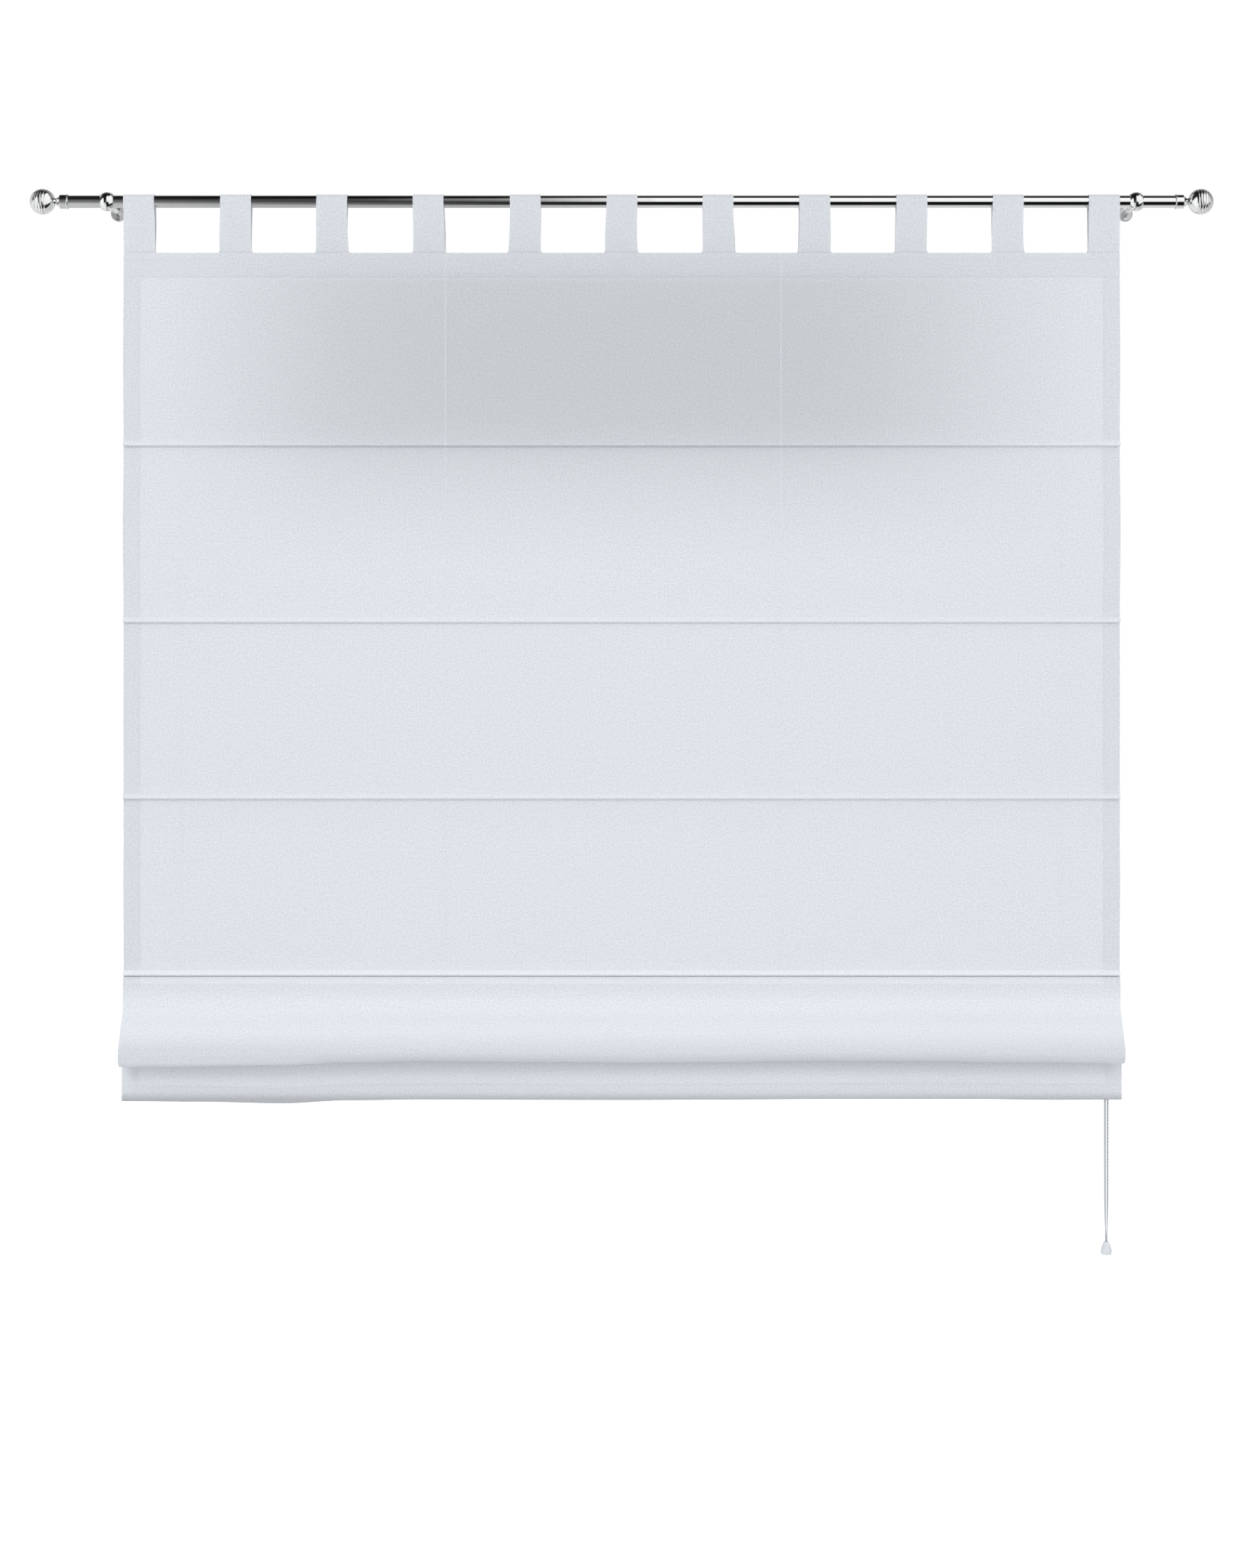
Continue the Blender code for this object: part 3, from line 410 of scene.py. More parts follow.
def painted_shade_group():
    """Painted shade over the blind's upper middle, lighter along the cords, and painted light and shade on
    its tucks, fold and foot, by place.
    """
    tree, given, result = new_group("ShaderNodeTree", "painted light and shade by place",
                                    {"Vector": "Vector"}, {"Shade": "Float"})
    parts = added(tree, "ShaderNodeSeparateXYZ", {"Vector": given["Vector"]})
    # A soft painted shade darkens the blind's upper middle: a little over the tabs and header, most over the
    # panel above the first tuck, fading out below it and towards the sides.
    across = math_out(tree, "MULTIPLY_ADD", parts["X"], 1 / blind_width, 0.5 - blind_middle / blind_width)
    sideways = ramp_out(tree, across, [
        (0.0, 0.05), (0.08, 0.15), (0.22, 0.95), (0.40, 1.0), (0.68, 1.0), (0.78, 0.85),
        (0.92, 0.15), (1.0, 0.0)], "B_SPLINE")
    level = math_out(tree, "MULTIPLY", parts["Z"], -2.0)
    downwards = ramp_out(tree, level, [
        (0.0, 0.10), (0.11, 0.25), (0.185, 0.48), (0.215, 1.0), (0.56, 1.0), (0.70, 0.5),
        (0.90, 0.0)], "B_SPLINE")
    grey = math_out(tree, "MULTIPLY", sideways, downwards)
    # Along each cord's column, where a cord lies behind the cloth, the painted shade is halved, which paints
    # a lighter line
    for column in cord_columns:
        line = math_out(tree, "COMPARE", parts["X"], blind_middle + column, 0.0008)
        grey = math_out(tree, "MULTIPLY", grey, math_out(tree, "MULTIPLY_ADD", line, -0.5, 1.0))
    shade = math_out(tree, "MULTIPLY_ADD", grey, -0.26, 1.0)
    # Below the fourth tuck the tones are painted by height: painted light on the fourth tuck's band and on
    # the fold's upturned front, and painted shade just under that tuck, where the fold rolls under, and along
    # the foot's lower edge round the bar. The flat cloth above keeps the lower factor of 0.87.
    low = math_out(tree, "MULTIPLY_ADD", parts["Z"], -5.0, -5.0)
    painted_low_light_and_shade = ramp_out(tree, low, [
        (0.0, 0.87), (0.016, 0.87), (0.02, 0.92), (0.055, 0.92), (0.07, 0.87), (0.22, 0.99),
        (0.42, 0.98), (0.475, 0.92), (0.52, 0.855), (0.575, 0.84), (0.605, 0.93), (0.66, 0.97),
        (0.72, 0.96), (0.79, 0.93), (0.82, 0.87), (0.845, 0.72), (0.865, 0.60)])
    shade = math_out(tree, "MULTIPLY", shade, painted_low_light_and_shade)
    # Each of the four upper tucks gets an 11% painted highlight over its band, where its pocket faces up to
    # the light.
    for seam in seams[:4]:
        tuck = math_out(tree, "COMPARE", parts["Z"], seam - 0.0037, 0.0042)
        shade = math_out(tree, "MULTIPLY", shade, math_out(tree, "MULTIPLY_ADD", tuck, 0.11, 1.0))
    fed(tree, result, {"Shade": shade})
    return tree


weave_marks = voile_group()
painted_place_shade = painted_shade_group()


def voile_paint(name):
    paint, tree, surface = new_paint(name)
    paint.use_backface_culling = True
    layout = added(tree, "ShaderNodeTexCoord", {})
    weave = grouped(tree, weave_marks, {"Vector": layout["UV"], "Threads": 700.0, "Grain": 420.0})
    # The voile's colour carries painted light and shade by place.
    painted_shading = grouped(tree, painted_place_shade, {"Vector": layout["Object"]})
    shade = math_out(tree, "MULTIPLY", weave["Shade"], painted_shading["Shade"])
    solid = math_out(tree, "MULTIPLY", weave["Density"], 0.955)
    sides = added(tree, "ShaderNodeNewGeometry", {})
    facing_out = math_out(tree, "SUBTRACT", 1.0, sides["Backfacing"])
    fed(tree, surface, {"Base Color": mixed(tree, shade, (0, 0, 0, 1), (0.86, 0.90, 0.955, 1)),
                        "Roughness": 0.85, "Specular IOR Level": 0.25, "Sheen Weight": 0.12,
                        "Sheen Roughness": 0.5,
                        "Alpha": math_out(tree, "MULTIPLY", solid, facing_out),
                        "Normal": bump(tree, weave["Height"], 0.35, 0.0004)})
    return paint


panel_voile = voile_paint("panel_voile")
double_voile = voile_paint("double_voile")


def cloth(name, rows, paint, thickness):
    """A thin closed shell either side of a grid of rows of (point, u, v), as one woven piece."""
    tall = len(rows)
    wide = len(rows[0])
    grid = [[Vector(p) for p, u, v in row] for row in rows]
    front = []
    back = []
    for i in range(tall):
        for j in range(wide):
            down = grid[min(i + 1, tall - 1)][j] - grid[max(i - 1, 0)][j]
            across = grid[i][min(j + 1, wide - 1)] - grid[i][max(j - 1, 0)]
            normal = across.cross(down).normalized()
            front.append(grid[i][j] - normal * thickness / 2)
            back.append(grid[i][j] + normal * thickness / 2)
    count = tall * wide
    faces = []
    for i in range(tall - 1):
        for j in range(wide - 1):
            a, b, c, d = i * wide + j, i * wide + j + 1, (i + 1) * wide + j + 1, (i + 1) * wide + j
            faces.append((d, c, b, a))
            faces.append((a + count, b + count, c + count, d + count))
    rim = list(range(wide)) + [i * wide + wide - 1 for i in range(1, tall)]
    rim += [(tall - 1) * wide + j for j in range(wide - 2, -1, -1)]
    rim += [i * wide for i in range(tall - 2, 0, -1)]
    for a, b in zip(rim, rim[1:] + rim[:1]):
        faces.append((a, b, b + count, a + count))
    mesh = bpy.data.meshes.new(name)
    mesh.from_pydata(front + back, [], faces)
    layout = mesh.uv_layers.new(name="UVMap")
    flat = [(u, v) for row in rows for p, u, v in row] * 2
    for loop in mesh.loops:
        layout.data[loop.index].uv = flat[loop.vertex_index]
    mesh.shade_smooth()
    mesh.set_sharp_from_angle(angle=math.radians(50))
    mesh.materials.append(paint)
    return stand(name, mesh)


# Tabs
# Eleven loops hang the blind on its pole. Each is a strip of voile folded double and pressed flat,
# and both ends are sewn in between the header and its facing.
tab_count = 11
tab_pitch = 0.126
tab_half = 0.0200
tab_edge = 0.6502
header_top = 0.067
front_leg = 0.0013
back_leg = 0.0024


def ring_arc(centre, radius, start, end, steps):
    angles = [math.radians(start + (end - start) * i / steps) for i in range(steps + 1)]
    return [(centre[0] + radius * math.cos(a), centre[1] + radius * math.sin(a)) for a in angles]


def lengths_along(points):
    """How far along the line each of its points lies."""
    lengths = [0.0]
    for a, b in zip(points, points[1:]):
        lengths.append(lengths[-1] + (b - a).length)
    return lengths


def clamped(value):
    """The value, kept between 0 and 1."""
    return min(1.0, max(0.0, value))


def tab_line():
    """The loop's side view from the front foot over the pole to the back foot, as (y, z)."""
    leg = (back_leg - front_leg) / 2
    radius = pole_radius + 0.0010
    reach = math.hypot(leg, header_top)
    start = 270 - math.degrees(math.atan2(leg, header_top)) - math.degrees(math.acos(radius / reach))
    over = [Vector(p) for p in ring_arc((0, 0), radius, start, 180 - start, 28)]
    front = [Vector((-leg, -header_top - tucked_in)) for tucked_in in (0.025, 0.012, 0.0)]
    rising = front + [front[-1].lerp(over[0], i / 20) for i in range(1, 20)]
    return rising + over + [Vector((-p[0], p[1])) for p in reversed(rising)]


line = tab_line()
lengths = lengths_along(line)
for number in range(tab_count):
    middle = blind_middle + (number - tab_count // 2) * tab_pitch
    slip = 0.0009 * math.sin(number * 2.3 + 0.6)
    puff = 0.4 + 0.6 * math.sin(number * 3.1)
    rows = []
    for i, point in enumerate(line):
        depth = -point.y
        below = max(0.0, depth)
        behind = i > len(line) / 2
        flare = clamped((depth - 0.0635) / 0.0035)
        half = tab_half + 0.0009 * below / header_top + 0.0016 * flare ** 2
        if depth > header_top + 0.001:
            half = tab_half
        shift = 0.0005 * math.sin(number * 1.7 + depth * 60)
        if behind:
            shift += slip * clamped(depth / 0.04)
        belly = 0.0006 * math.sin(math.pi * clamped(depth / header_top)) * puff
        row = []
        for k in range(13):
            share = k / 12 * 2 - 1
            x = middle + shift + half * share
            x = max(blind_middle - tab_edge, min(blind_middle + tab_edge, x))
            y = pole_y + point.x + (belly if behind else -abs(belly)) * (1 - share ** 2)
            row.append(((x, y, point.y), x, lengths[i]))
        rows.append(row)
    tab = cloth("tab_loop_%02d" % (number + 1), rows, double_voile, 0.0007)
    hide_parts("tab_%02d" % (number + 1))

# Header facing
# A strip of voile as wide as the blind backs its top edge. The tabs' ends are sewn in between, and
# its lower edge is turned in and stitched through to the front.
facing_foot = -0.0995
facing_cut = 3.0
across_steps = 130
facing_line = [Vector((0.0033, -header_top - 0.0225 * i / 6)) for i in range(7)]
facing_line += [Vector(p) for p in ((0.0032, -0.0912), (0.0027, -0.0925), (0.0018, -0.0938),
                                    (0.0012, -0.0950), (0.0011, -0.0970), (0.0011, facing_foot))]
lengths = lengths_along(facing_line)
rows = []
for i, point in enumerate(facing_line):
    row = []
    for k in range(across_steps + 1):
        x = blind_middle - half_width + blind_width * k / across_steps
        puff = 0.0003 * math.sin(x * 97) * math.sin(math.pi * min(1.0, i / 6))
        row.append(((x, panel_y + point.x + puff, point.y), x, lengths[i] + facing_cut))
    rows.append(row)
facing = cloth("header_facing_strip", rows, panel_voile, 0.0003)
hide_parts("header_facing")

# Panel
# One cloth makes the whole panel. It is tucked round five rods, and below the fourth it is drawn up
# into a soft fold. Its side edges are turned 22 mm to the back and its foot is hemmed round a bar.
pocket_radius = 0.0024
rod_y = -0.0031
rod_drop = 0.0045
hairpin = 0.00035
tuck_front = -0.0022
foot_drop = 0.1502
hem_back = 0.0006
hem_air = 0.0004
outer_edge = 0.6503
loose_from = -1.03
bar_from = -1.15
fold_behind = -0.0045


def pocket_front(seam, spare):
    centre = (rod_y, seam - rod_drop)
    radius = pocket_radius + spare
    top = (tuck_front - spare, seam)
    aim = math.degrees(math.atan2(top[1] - centre[1], top[0] - centre[0]))
    start = aim + math.degrees(math.acos(radius / math.dist(top, centre)))
    return [top] + ring_arc(centre, radius, start, 180, 5)


def pocket_back(seam):
    under = ring_arc((rod_y, seam - rod_drop), pocket_radius, 180, 360, 12)[1:]
    return under + ring_arc((-hairpin, seam), hairpin, 180, 0, 6)


def lean_in(start, end, steps):
    line = []
    for i in range(steps):
        u = i / steps
        share = (1 - math.cos(math.pi * u)) / 2
        line.append((start[0] + (end[0] - start[0]) * share, start[1] + (end[1] - start[1]) * u))
    return line


def through(points, steps):
    """Points on a smooth curve that passes through the given ones."""
    size = len(points[0])
    pulls = []
    for i in range(len(points)):
        before, after = points[max(i - 1, 0)], points[min(i + 1, len(points) - 1)]
        reach = math.dist(before, after)
        pulls.append([(after[k] - before[k]) / reach for k in range(size)])
    curve = [tuple(points[0])]
    for i in range(len(points) - 1):
        span = math.dist(points[i], points[i + 1])
        for step in range(1, steps + 1):
            u = step / steps
            a, b = 2 * u ** 3 - 3 * u ** 2 + 1, 3 * u ** 2 - 2 * u ** 3
            c, d = (u ** 3 - 2 * u ** 2 + u) * span, (u ** 3 - u ** 2) * span
            curve.append(tuple(points[i][k] * a + points[i + 1][k] * b + pulls[i][k] * c + pulls[i + 1][k] * d
                               for k in range(size)))
    return curve


def fold_line(above, below):
    """From under one tuck out over the drawn-up fold, back under it and up to the next tuck."""
    foot = above - rod_drop - pocket_radius
    rising = rod_y - pocket_radius - 2 * hairpin
    falling = rising - 0.0015
    under = [(0.0, foot + 0.0008), (-0.0006, foot - 0.0006), (-0.0026, foot - 0.0013),
             (-0.0045, foot - 0.0030), (-0.0062, foot - 0.0060), (-0.0073, foot - 0.0088)]
    front = [(falling, below), (falling, below - 0.0045), (-0.0082, below - 0.0216),
             (-0.0105, below - 0.0336), (-0.0165, below - 0.0421), (-0.0250, below - 0.0501),
             (-0.0345, below - 0.0631)]
    nose = [(-0.0430, below - 0.0741), (-0.0485, below - 0.0826), (-0.0496, below - 0.0901),
            (-0.0455, below - 0.0971), (-0.0370, below - 0.1005), (-0.0285, below - 0.0975)]
    back = [(-0.0210, below - 0.0860), (-0.0125, below - 0.0580), (rising - 0.0002, below - 0.0241),
            (rising, below - rod_drop - 0.0003)]
    over = ring_arc((tuck_front - hairpin, below), hairpin, 180, 0, 6)[1:-1]
    return through(under + front + nose + back, 4) + pocket_front(below, 2 * hairpin)[::-1] + over


def panel_line():
    """The panel's side view from its top edge to the stitched edge of its hem, as (y, z)."""
    line = [(0.0, -header_top)]
    for i, seam in enumerate(seams):
        if i == 4:
            line += fold_line(seams[3], seam)
        else:
            line += lean_in((0.0, seam + 0.010), (tuck_front, seam), 8)
        line += pocket_front(seam, 0.0) + pocket_back(seam)
    bar_y = hem_back + 0.0003 + 0.001
    centre = seams[4] - foot_drop + bar_y + 0.0002
    line += ring_arc((bar_y, centre), bar_y, 180, 360, 12)
    line += [(2 * bar_y, centre + 0.0113), (0.0015, centre + 0.0157), (0.0015, centre + 0.020)]
    dense = [Vector(line[0])]
    for point in line[1:]:
        start, end = dense[-1], Vector(point)
        pieces = max(1, round((end - start).length / 0.012))
        dense += [start.lerp(end, k / pieces) for k in range(1, pieces + 1)]
    return dense


def smooth(u):
    return u * u * (3 - 2 * u)


def along_table(table, x):
    """A height read smoothly from (x, height) pairs."""
    for (x0, h0), (x1, h1) in zip(table, table[1:]):
        if x <= x1:
            return h0 + (h1 - h0) * smooth(clamped((x - x0) / (x1 - x0)))
    return table[-1][1]


fold_foot = [(-0.65, -0.0030), (-0.60, -0.0042), (-0.44, -0.0020), (-0.36, 0.0018), (-0.26, 0.0038),
             (-0.12, 0.0028), (0.02, 0.0014), (0.12, 0.0020), (0.24, 0.0038), (0.40, 0.0036),
             (0.52, 0.0022), (0.65, 0.0006)]
hem_foot = [(-0.65, -0.0030), (-0.55, -0.0038), (-0.44, -0.0058), (-0.36, -0.0020), (-0.26, -0.0008),
            (0.0, -0.0015), (0.12, -0.0010), (0.28, -0.0002), (0.46, -0.0002), (0.56, -0.0012),
            (0.65, -0.0009)]


def hung(x, y, z):
    """Where a point of the flat-hanging cloth lies once its small ripples and sags are in."""
    dx = dy = dz = 0.0
    edges = [facing_foot, *seams[:4]]
    sideways = (x / half_width) ** 3
    for i in range(4):
        top, low = edges[i] - (0.008 if i else 0.0), edges[i + 1]
        if low < z < top:
            swing = math.sin(math.pi * (top - z) / (top - low)) ** 2
            dy = 0.0011 * swing * (math.sin(x * 14.6 + i * 1.9) + 0.6 * math.sin(x * 33 + i * 2.7))
            dx = 0.0006 * swing * sideways * (1 + 0.5 * math.sin(i * 2.1))
    if z < loose_from and y > fold_behind:
        # The last panel and the foot hang loose behind the fold
        u = clamped((loose_from - z) / 0.09)
        dz = smooth(u) * along_table(hem_foot, x)
        dx = smooth(u) * 0.0026 * sideways
        if z > bar_from:
            dy = 0.0012 * math.sin(math.pi * u) * math.sin(x * 19)
    elif z < loose_from:
        # The fold sags between the cords, and its corners droop
        share = smooth(clamped((loose_from - z) / 0.08))
        dz = share * along_table(fold_foot, x)
        dz -= share * 0.0014 * clamped((abs(x) - 0.6255) / 0.003) * (1.0 if x < 0 else 0.4)
        dy = 0.0025 * share * math.sin(x * 9.5 + 0.8)
    return Vector((blind_middle + x + dx, panel_y + y + dy, z + dz))


line = panel_line()
normals = []
for i in range(len(line)):
    step = line[min(i + 1, len(line) - 1)] - line[max(i - 1, 0)]
    step.normalize()
    normals.append(Vector((-step.y, step.x)))

# Columns of the cloth as (place across, depth behind the front, place on the flat cloth)
hem_marks = [0.0, 0.0006, 0.005, 0.010, 0.015, 0.019, 0.022]
left_hem = [(-half_width + m, hem_air, -half_width - m) for m in reversed(hem_marks)]
left_hem += [(-outer_edge, hem_air / 2, -half_width)]
left_hem += [(-half_width + m, 0.0, -half_width + m) for m in hem_marks + [0.0235, 0.0255]]
columns = left_hem + [(-0.62 + 0.0124 * k, 0.0, -0.62 + 0.0124 * k) for k in range(101)]
columns += [(-x, depth, -u) for x, depth, u in reversed(left_hem)]
lengths = lengths_along(line)
rows = []
for point, normal, along in zip(line, normals, lengths):
    spots = [(x, point + normal * depth, u) for x, depth, u in columns]
    rows.append([(hung(x, spot.x, spot.y), u, along) for x, spot, u in spots])
panel = cloth("voile_panel_cloth", rows, panel_voile, 0.0003)
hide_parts("voile_panel")


# Stitching
# White polyester thread closes the header in two straight rows, and the side hems, the four tucks
# that show and the foot's hem in one row each, about three stitches to the centimetre.
def stitch_tree():
    """Lays short thread stitches along any line."""
    tree, given, result = new_group("GeometryNodeTree", "stitch row",
                                    {"Geometry": "Geometry", "Pitch": "Float", "Length": "Float",
                                     "Thread": "Float", "Material": "Material"}, {"Geometry": "Geometry"})
    line = added(tree, "GeometryNodeMeshToCurve", {"Mesh": given["Geometry"]})["Curve"]
    marks = tree.nodes.new("GeometryNodeCurveToPoints")
    marks.mode = "LENGTH"
    points = fed(tree, marks, {"Curve": line, "Length": given["Pitch"]})
    aim = tree.nodes.new("FunctionNodeAlignRotationToVector")
    aim.axis = "Z"
    turn = fed(tree, aim, {"Vector": points["Tangent"]})["Rotation"]
    stitch = added(tree, "GeometryNodeMeshUVSphere", {"Segments": 5, "Rings": 4, "Radius": 0.5})["Mesh"]
    size = added(tree, "ShaderNodeCombineXYZ",
                 {"X": given["Thread"], "Y": given["Thread"], "Z": given["Length"]})["Vector"]
    laid = added(tree, "GeometryNodeInstanceOnPoints",
                 {"Points": points["Points"], "Instance": stitch, "Rotation": turn, "Scale": size})
    finished(tree, laid["Instances"], given, result)
    return tree


def finished(tree, instances, given, result):
    """Ends a tree: its instances become one smooth mesh of the given material."""
    mesh = added(tree, "GeometryNodeRealizeInstances", {"Geometry": instances})["Geometry"]
    mesh = added(tree, "GeometryNodeSetShadeSmooth", {"Geometry": mesh})["Geometry"]
    painted = added(tree, "GeometryNodeSetMaterial", {"Geometry": mesh, "Material": given["Material"]})
    fed(tree, result, {"Geometry": painted["Geometry"]})


def grown(name, lines, tree, values):
    """Runs a node tree on polylines and keeps its result as a plain mesh."""
    points = []
    edges = []
    for each in lines:
        edges += [(len(points) + i, len(points) + i + 1) for i in range(len(each) - 1)]
        points += [tuple(p) for p in each]
    mesh = bpy.data.meshes.new(name)
    mesh.from_pydata(points, edges, [])
    carrier = bpy.data.objects.new(name + "_lines", mesh)
    bpy.context.scene.collection.objects.link(carrier)
    modifier = carrier.modifiers.new("grow", "NODES")
    modifier.node_group = tree
    for item in tree.interface.items_tree:
        if item.in_out == "INPUT" and item.name in values:
            modifier[item.identifier] = values[item.name]
    seen = carrier.evaluated_get(bpy.context.evaluated_depsgraph_get())
    result = bpy.data.meshes.new_from_object(seen)
    bpy.data.objects.remove(carrier, do_unlink=True)
    result.materials.pop(index=0)
    return stand(name, result)


def thread_paint(name, colour, twist):
    paint, tree, surface = new_paint(name)
    wave = tree.nodes.new("ShaderNodeTexWave")
    wave.bands_direction = "DIAGONAL"
    place = added(tree, "ShaderNodeTexCoord", {})["Object"]
    plies = fed(tree, wave, {"Vector": place, "Scale": twist})["Fac"]
    # Painted shade: the grooves of the twisted plies are darkened to 0.86 of the thread's colour.
    tone = ramp_out(tree, plies, [(0.0, tuple(c * 0.86 for c in colour)), (1.0, colour)])
    fed(tree, surface, {"Base Color": tone, "Roughness": 0.6, "Sheen Weight": 0.2,
                        "Normal": bump(tree, plies, 0.4, 0.0001)})
    return paint


stitches = stitch_tree()
sewing_thread = thread_paint("sewing_thread", (0.68, 0.72, 0.78), 900.0)
thread_y = -0.00022
row_gap = 0.011
side_row = 0.6295
foot_row = -1.1530
header_thread = {"Pitch": 0.0031, "Length": 0.0026, "Thread": 0.00034, "Material": sewing_thread}
fine_thread = {"Pitch": 0.0032, "Length": 0.0026, "Thread": 0.00026, "Material": sewing_thread}


def row_across(y, z):
    inset = 0.001
    return [hung(-half_width + inset + (blind_width - 2 * inset) * k / across_steps, y, z)
            for k in range(across_steps + 1)]


grown("header_stitches", [row_across(thread_y, z) for z in (-0.0985, -0.0757)], stitches, header_thread)
grown("tuck_stitches", [row_across(tuck_front + thread_y, seam) for seam in seams[:4]], stitches, fine_thread)
side_lines = []
for edge in (-side_row, side_row):
    for top, low in zip([-0.0700, *[s - row_gap for s in seams[:3]]], [s + row_gap for s in seams[:4]]):
        side_lines.append([hung(edge, thread_y, top + (low - top) * k / 20) for k in range(21)])
grown("side_hem_stitches", side_lines, stitches, fine_thread)
grown("foot_hem_stitches", [row_across(thread_y, foot_row)], stitches, fine_thread)

# Rods and bottom bar
# Round glass-fibre rods stiffen the five tucks, and a flat moulded bar weights the foot. They are
# slid into their pockets and show only at the blind's edges.
rod_paint, rod_tree, rod_surface = new_paint("rod_white")
rod_place = added(rod_tree, "ShaderNodeTexCoord", {})["Object"]
rod_fibre = noise(rod_tree, stretched(rod_tree, rod_place, (0.2, 30.0, 30.0)), 40.0)
rod_tone = ramp_out(rod_tree, rod_fibre, [(0.3, (0.80, 0.81, 0.82)), (0.7, (0.88, 0.89, 0.90))])
fed(rod_tree, rod_surface, {"Base Color": rod_tone, "Roughness": 0.45})
for node_name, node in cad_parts.items():
    if node_name.startswith("rib_rod") or node_name == "bottom_bar":
        node.material_slots[0].material = rod_paint

# Guide rings
# Small rings moulded in white plastic are sewn behind every tuck, four to a row, and five more
# stand behind the header. The lift cords run up through them and along to the right.
ring_radius = 0.0036
ring_section = 0.0009
ring_y = 0.0050
head_ring_y = 0.0078
head_ring_z = -0.08325
pull_x = 0.634
last_ring_x = pull_x - 0.010


def ring_tree():
    """A moulded ring at every point, upright or flat."""
    tree, given, result = new_group("GeometryNodeTree", "sewn ring",
                                    {"Geometry": "Geometry", "Radius": "Float", "Section": "Float",
                                     "Turn": "Vector", "Material": "Material"}, {"Geometry": "Geometry"})
    circle = added(tree, "GeometryNodeCurvePrimitiveCircle", {"Resolution": 36, "Radius": given["Radius"]})
    section = added(tree, "GeometryNodeCurvePrimitiveCircle", {"Resolution": 12, "Radius": given["Section"]})
    ring = added(tree, "GeometryNodeCurveToMesh",
                 {"Curve": circle["Curve"], "Profile Curve": section["Curve"]})["Mesh"]
    sewn = added(tree, "GeometryNodeInstanceOnPoints",
                 {"Points": given["Geometry"], "Instance": ring, "Rotation": given["Turn"]})
    finished(tree, sewn["Instances"], given, result)
    return tree


def plastic_group():
    """Flow marks and a faint orange peel of small mouldings."""
    tree, given, result = new_group("ShaderNodeTree", "moulded plastic", {"Vector": "Vector"},
                                    {"Shade": "Float", "Roughness": "Float", "Height": "Float"})
    flow = noise(tree, given["Vector"], 180.0)
    fed(tree, result, {"Shade": ramp_out(tree, flow, [(0.3, 0.93), (0.7, 1.0)]),
                       "Roughness": ramp_out(tree, flow, [(0.3, 0.28), (0.7, 0.42)]),
                       "Height": noise(tree, given["Vector"], 1500.0)})
    return tree


moulded = plastic_group()


def plastic_paint(name, colour):
    paint, tree, surface = new_paint(name)
    place = added(tree, "ShaderNodeTexCoord", {})["Object"]
    marks = grouped(tree, moulded, {"Vector": place})
    fed(tree, surface, {"Base Color": mixed(tree, marks["Shade"], (0, 0, 0, 1), (*colour, 1)),
                        "Roughness": marks["Roughness"], "Normal": bump(tree, marks["Height"], 0.1, 0.0001)})
    return paint


ring_white = plastic_paint("ring_plastic_white", (0.84, 0.86, 0.88))
rings = ring_tree()
ring_size = {"Radius": ring_radius, "Section": ring_section, "Material": ring_white}
tuck_places = [[(blind_middle + x, panel_y + ring_y, seam)] for seam in seams for x in cord_columns]
tuck_rings = grown("tuck_guide_rings", tuck_places, rings, {**ring_size, "Turn": (0.0, 0.0, 0.0)})
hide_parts(*["guide_ring_%d_%d" % (i + 1, k + 1) for i in range(5) for k in range(4)])
head_places = [[(blind_middle + x, panel_y + head_ring_y, head_ring_z)]
               for x in [column + 0.008 for column in cord_columns] + [last_ring_x]]
head_rings = grown("header_guide_rings", head_places, rings, {**ring_size, "Turn": (0.0, math.pi / 2, 0.0)})

# Pull
# The pull is a bell moulded in white plastic, hollow from below, with three shallow grooves round
# its flare. The cords come down through its neck and end in the knot that it sits on.
pull_white = plastic_paint("pull_plastic_white", (0.72, 0.75, 0.80))
bell_drop = 1.3597
bell_bore = 0.0024
bell_hollow = 0.0046
bell_shoulder = 0.0041
bell_knot_height = 0.0072


def bell_outline():
    """From the neck down the grooved flare, round the rim and up the hollow inside to the bore."""
    neck, widest, flare, height, wall = 0.0033, 0.0070, 0.0122, 0.0170, 0.0007
    points = [(0.0, neck - 0.00035), (0.00035, neck)]
    for i in range(2, 61):
        along = flare * i / 60
        radius = neck + (widest - neck) * math.sin(math.pi / 2 * i / 60) ** 1.15
        groove = sum(max(0.0, 1 - ((along - centre) / 0.0008) ** 2) for centre in (0.0034, 0.0062, 0.0090))
        points.append((along, radius - 0.00032 * groove))
    rim = widest - bell_hollow - wall
    for i in range(13):
        angle = math.pi / 2 * (1 - i / 12)
        points.append((flare + (height - flare) * math.cos(angle),
                       bell_hollow + wall + rim * math.sin(angle) ** 0.6))
    points += [(height, bell_hollow + 0.0003), (height - 0.0003, bell_hollow)]
    points += [(bell_shoulder + bell_hollow - bell_bore, bell_hollow), (bell_shoulder, bell_bore)]
    return points + [(0.0, bell_bore)]


pull = turned("pull_moulded_bell", bell_outline(), (blind_middle + pull_x, panel_y + head_ring_y, -bell_drop),
              (0, 0, -1), pull_white, 48, True)
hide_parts("pull_bell")
knot_white = thread_paint("knot_cord_white", (0.80, 0.83, 0.87), 260.0)
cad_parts["bell_knot"].material_slots[0].material = knot_white

# Lift cords
# Four braided polyester cords, 1.4 mm thick, are knotted under the lowest rings. They run up behind
# the panel, along the header to the right, and hang down together at the edge to the pull.
cord_radius = 0.0007
cord_pitch = 0.0018
plies_per_metre = 220.0
knot_radius = 0.0029
knot_height = 0.0064
knot_gap = 0.0003
knot_z = seams[4] - math.sqrt((knot_height / 2 + ring_section + knot_gap) ** 2 - ring_radius ** 2)
bell_knot_z = -bell_drop - bell_shoulder - bell_knot_height / 2 - (bell_hollow - bell_bore)
strand_offsets = (0.0011, 0.0023, -0.0023, -0.0011)
eighth_turn = 1 - math.cos(math.pi / 4)


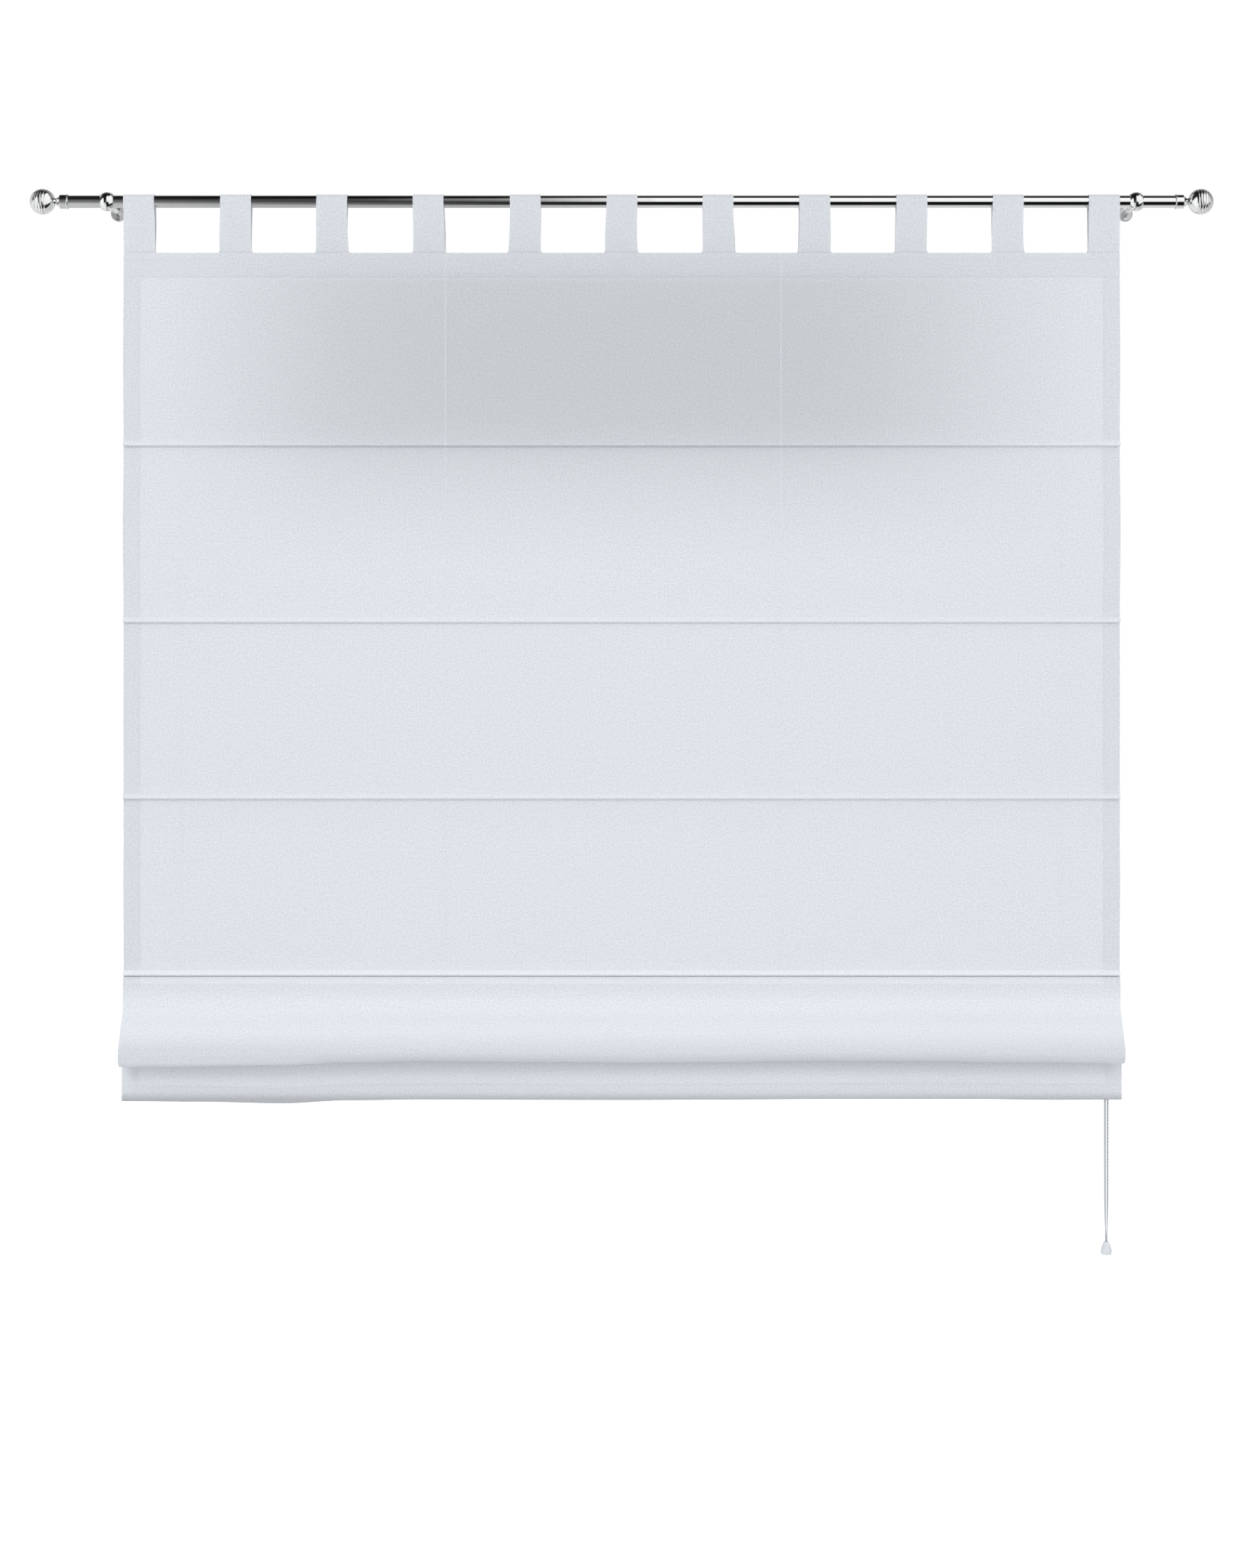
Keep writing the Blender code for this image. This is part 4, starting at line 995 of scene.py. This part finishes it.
def tube(name, points, radii, paint):
    """A round cord along points, with its UV map once round it and along it in plies."""
    sides = 8
    verts = []
    faces = []
    side = Vector((1, 0, 0))
    for i, point in enumerate(points):
        tangent = (points[min(i + 1, len(points) - 1)] - points[max(i - 1, 0)]).normalized()
        side = side - tangent * side.dot(tangent)
        if side.length < 1e-3:
            side = tangent.orthogonal()
        side.normalize()
        up = tangent.cross(side)
        for k in range(sides):
            a = math.tau * k / sides
            verts.append(point + (side * math.cos(a) + up * math.sin(a)) * radii[i])
    last = len(points) - 1
    for i in range(last):
        for k in range(sides):
            n = (k + 1) % sides
            faces.append((i * sides + k, i * sides + n, (i + 1) * sides + n, (i + 1) * sides + k))
    faces.append(tuple(reversed(range(sides))))
    faces.append(tuple(last * sides + k for k in range(sides)))
    mesh = bpy.data.meshes.new(name)
    mesh.from_pydata(verts, [], faces)
    layout = mesh.uv_layers.new(name="UVMap")
    lengths = lengths_along(points)
    for polygon in mesh.polygons:
        turns = {v % sides for v in polygon.vertices}
        closes = len(polygon.vertices) == 4 and turns == {0, sides - 1}
        for index, vert in zip(polygon.loop_indices, polygon.vertices):
            k = vert % sides
            u = k / sides + (1.0 if closes and k == 0 else 0.0)
            layout.data[index].uv = (u, lengths[vert // sides] * plies_per_metre)
    mesh.shade_smooth()
    mesh.materials.append(paint)
    return stand(name, mesh)


def braid_paint(name, colour):
    """A braided cord: two sets of plies that cross, by its own UV map, with painted shade in the grooves
    between them.
    """
    paint, tree, surface = new_paint(name)
    layout = added(tree, "ShaderNodeTexCoord", {})["UV"]
    parts = added(tree, "ShaderNodeSeparateXYZ", {"Vector": layout})
    plies = []
    for lean in (2.0, -2.0):
        strand = math_out(tree, "MULTIPLY_ADD", parts["X"], lean, parts["Y"])
        plies.append(math_out(tree, "SINE", math_out(tree, "MULTIPLY", strand, math.tau)))
    crossed = math_out(tree, "MAXIMUM", *plies)
    # Painted shade: the grooves between the plies are darkened to 0.6 of the cord's colour.
    tone = ramp_out(tree, crossed, [(0.0, tuple(c * 0.6 for c in colour)), (0.9, colour)])
    fed(tree, surface, {"Base Color": tone, "Roughness": 0.7, "Sheen Weight": 0.25,
                        "Normal": bump(tree, crossed, 0.6, 0.00015)})
    return paint


def cord_route(k):
    """One lift cord from its knot up behind the panel, along the header and down to the pull."""
    x = cord_columns[k]
    row_y = head_ring_y + (k % 2 - 0.5) * cord_pitch
    row_z = head_ring_z + (0.5 - k // 2) * cord_pitch
    bend = 0.0068
    eighth = bend * eighth_turn
    route = [(x, ring_y, knot_z + knot_height / 2), (x, ring_y, seams[0])]
    route += [(x, (ring_y + row_y) / 2, (seams[0] + row_z) / 2), (x, row_y, row_z - 3 * bend)]
    route += [(x, row_y, row_z - bend), (x + eighth, row_y, row_z - eighth)]
    route += [(x + bend, row_y, row_z), (last_ring_x, row_y, row_z)]
    strand_x = pull_x + strand_offsets[k]
    turn_x = pull_x + (0.5 - k // 2) * cord_pitch
    drop = 0.008
    eighth = drop * eighth_turn
    route += [(turn_x - drop, row_y, row_z), (turn_x - eighth, row_y, row_z - eighth)]
    route += [(turn_x, row_y, row_z - drop), (strand_x, row_y, row_z - 0.060)]
    route += [(strand_x, row_y, -bell_drop / 2), (strand_x, row_y, -bell_drop + 0.060)]
    route += [(turn_x, row_y, -bell_drop + 0.0066), (turn_x, row_y, -bell_drop)]
    return route + [(turn_x, row_y, bell_knot_z + bell_knot_height / 2 + knot_gap)]


cord_white = braid_paint("braided_cord_white", (0.60, 0.63, 0.68))
for k in range(4):
    path = [Vector((blind_middle + x, panel_y + y, z)) for x, y, z in through(cord_route(k), 5)]
    knot_line = []
    radii = []
    for i in range(1, 16):
        angle = math.pi * i / 16
        knot_line.append(path[0] - Vector((0, 0, knot_height / 2 * (1 + math.cos(angle)))))
        radii.append(max(knot_radius * math.sin(angle) ** 0.7, cord_radius))
    whole = knot_line + path
    cord = tube("lift_cord_braid_%d" % (k + 1), whole, radii + [cord_radius] * len(path), cord_white)
    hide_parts("lift_cord_%d" % (k + 1))
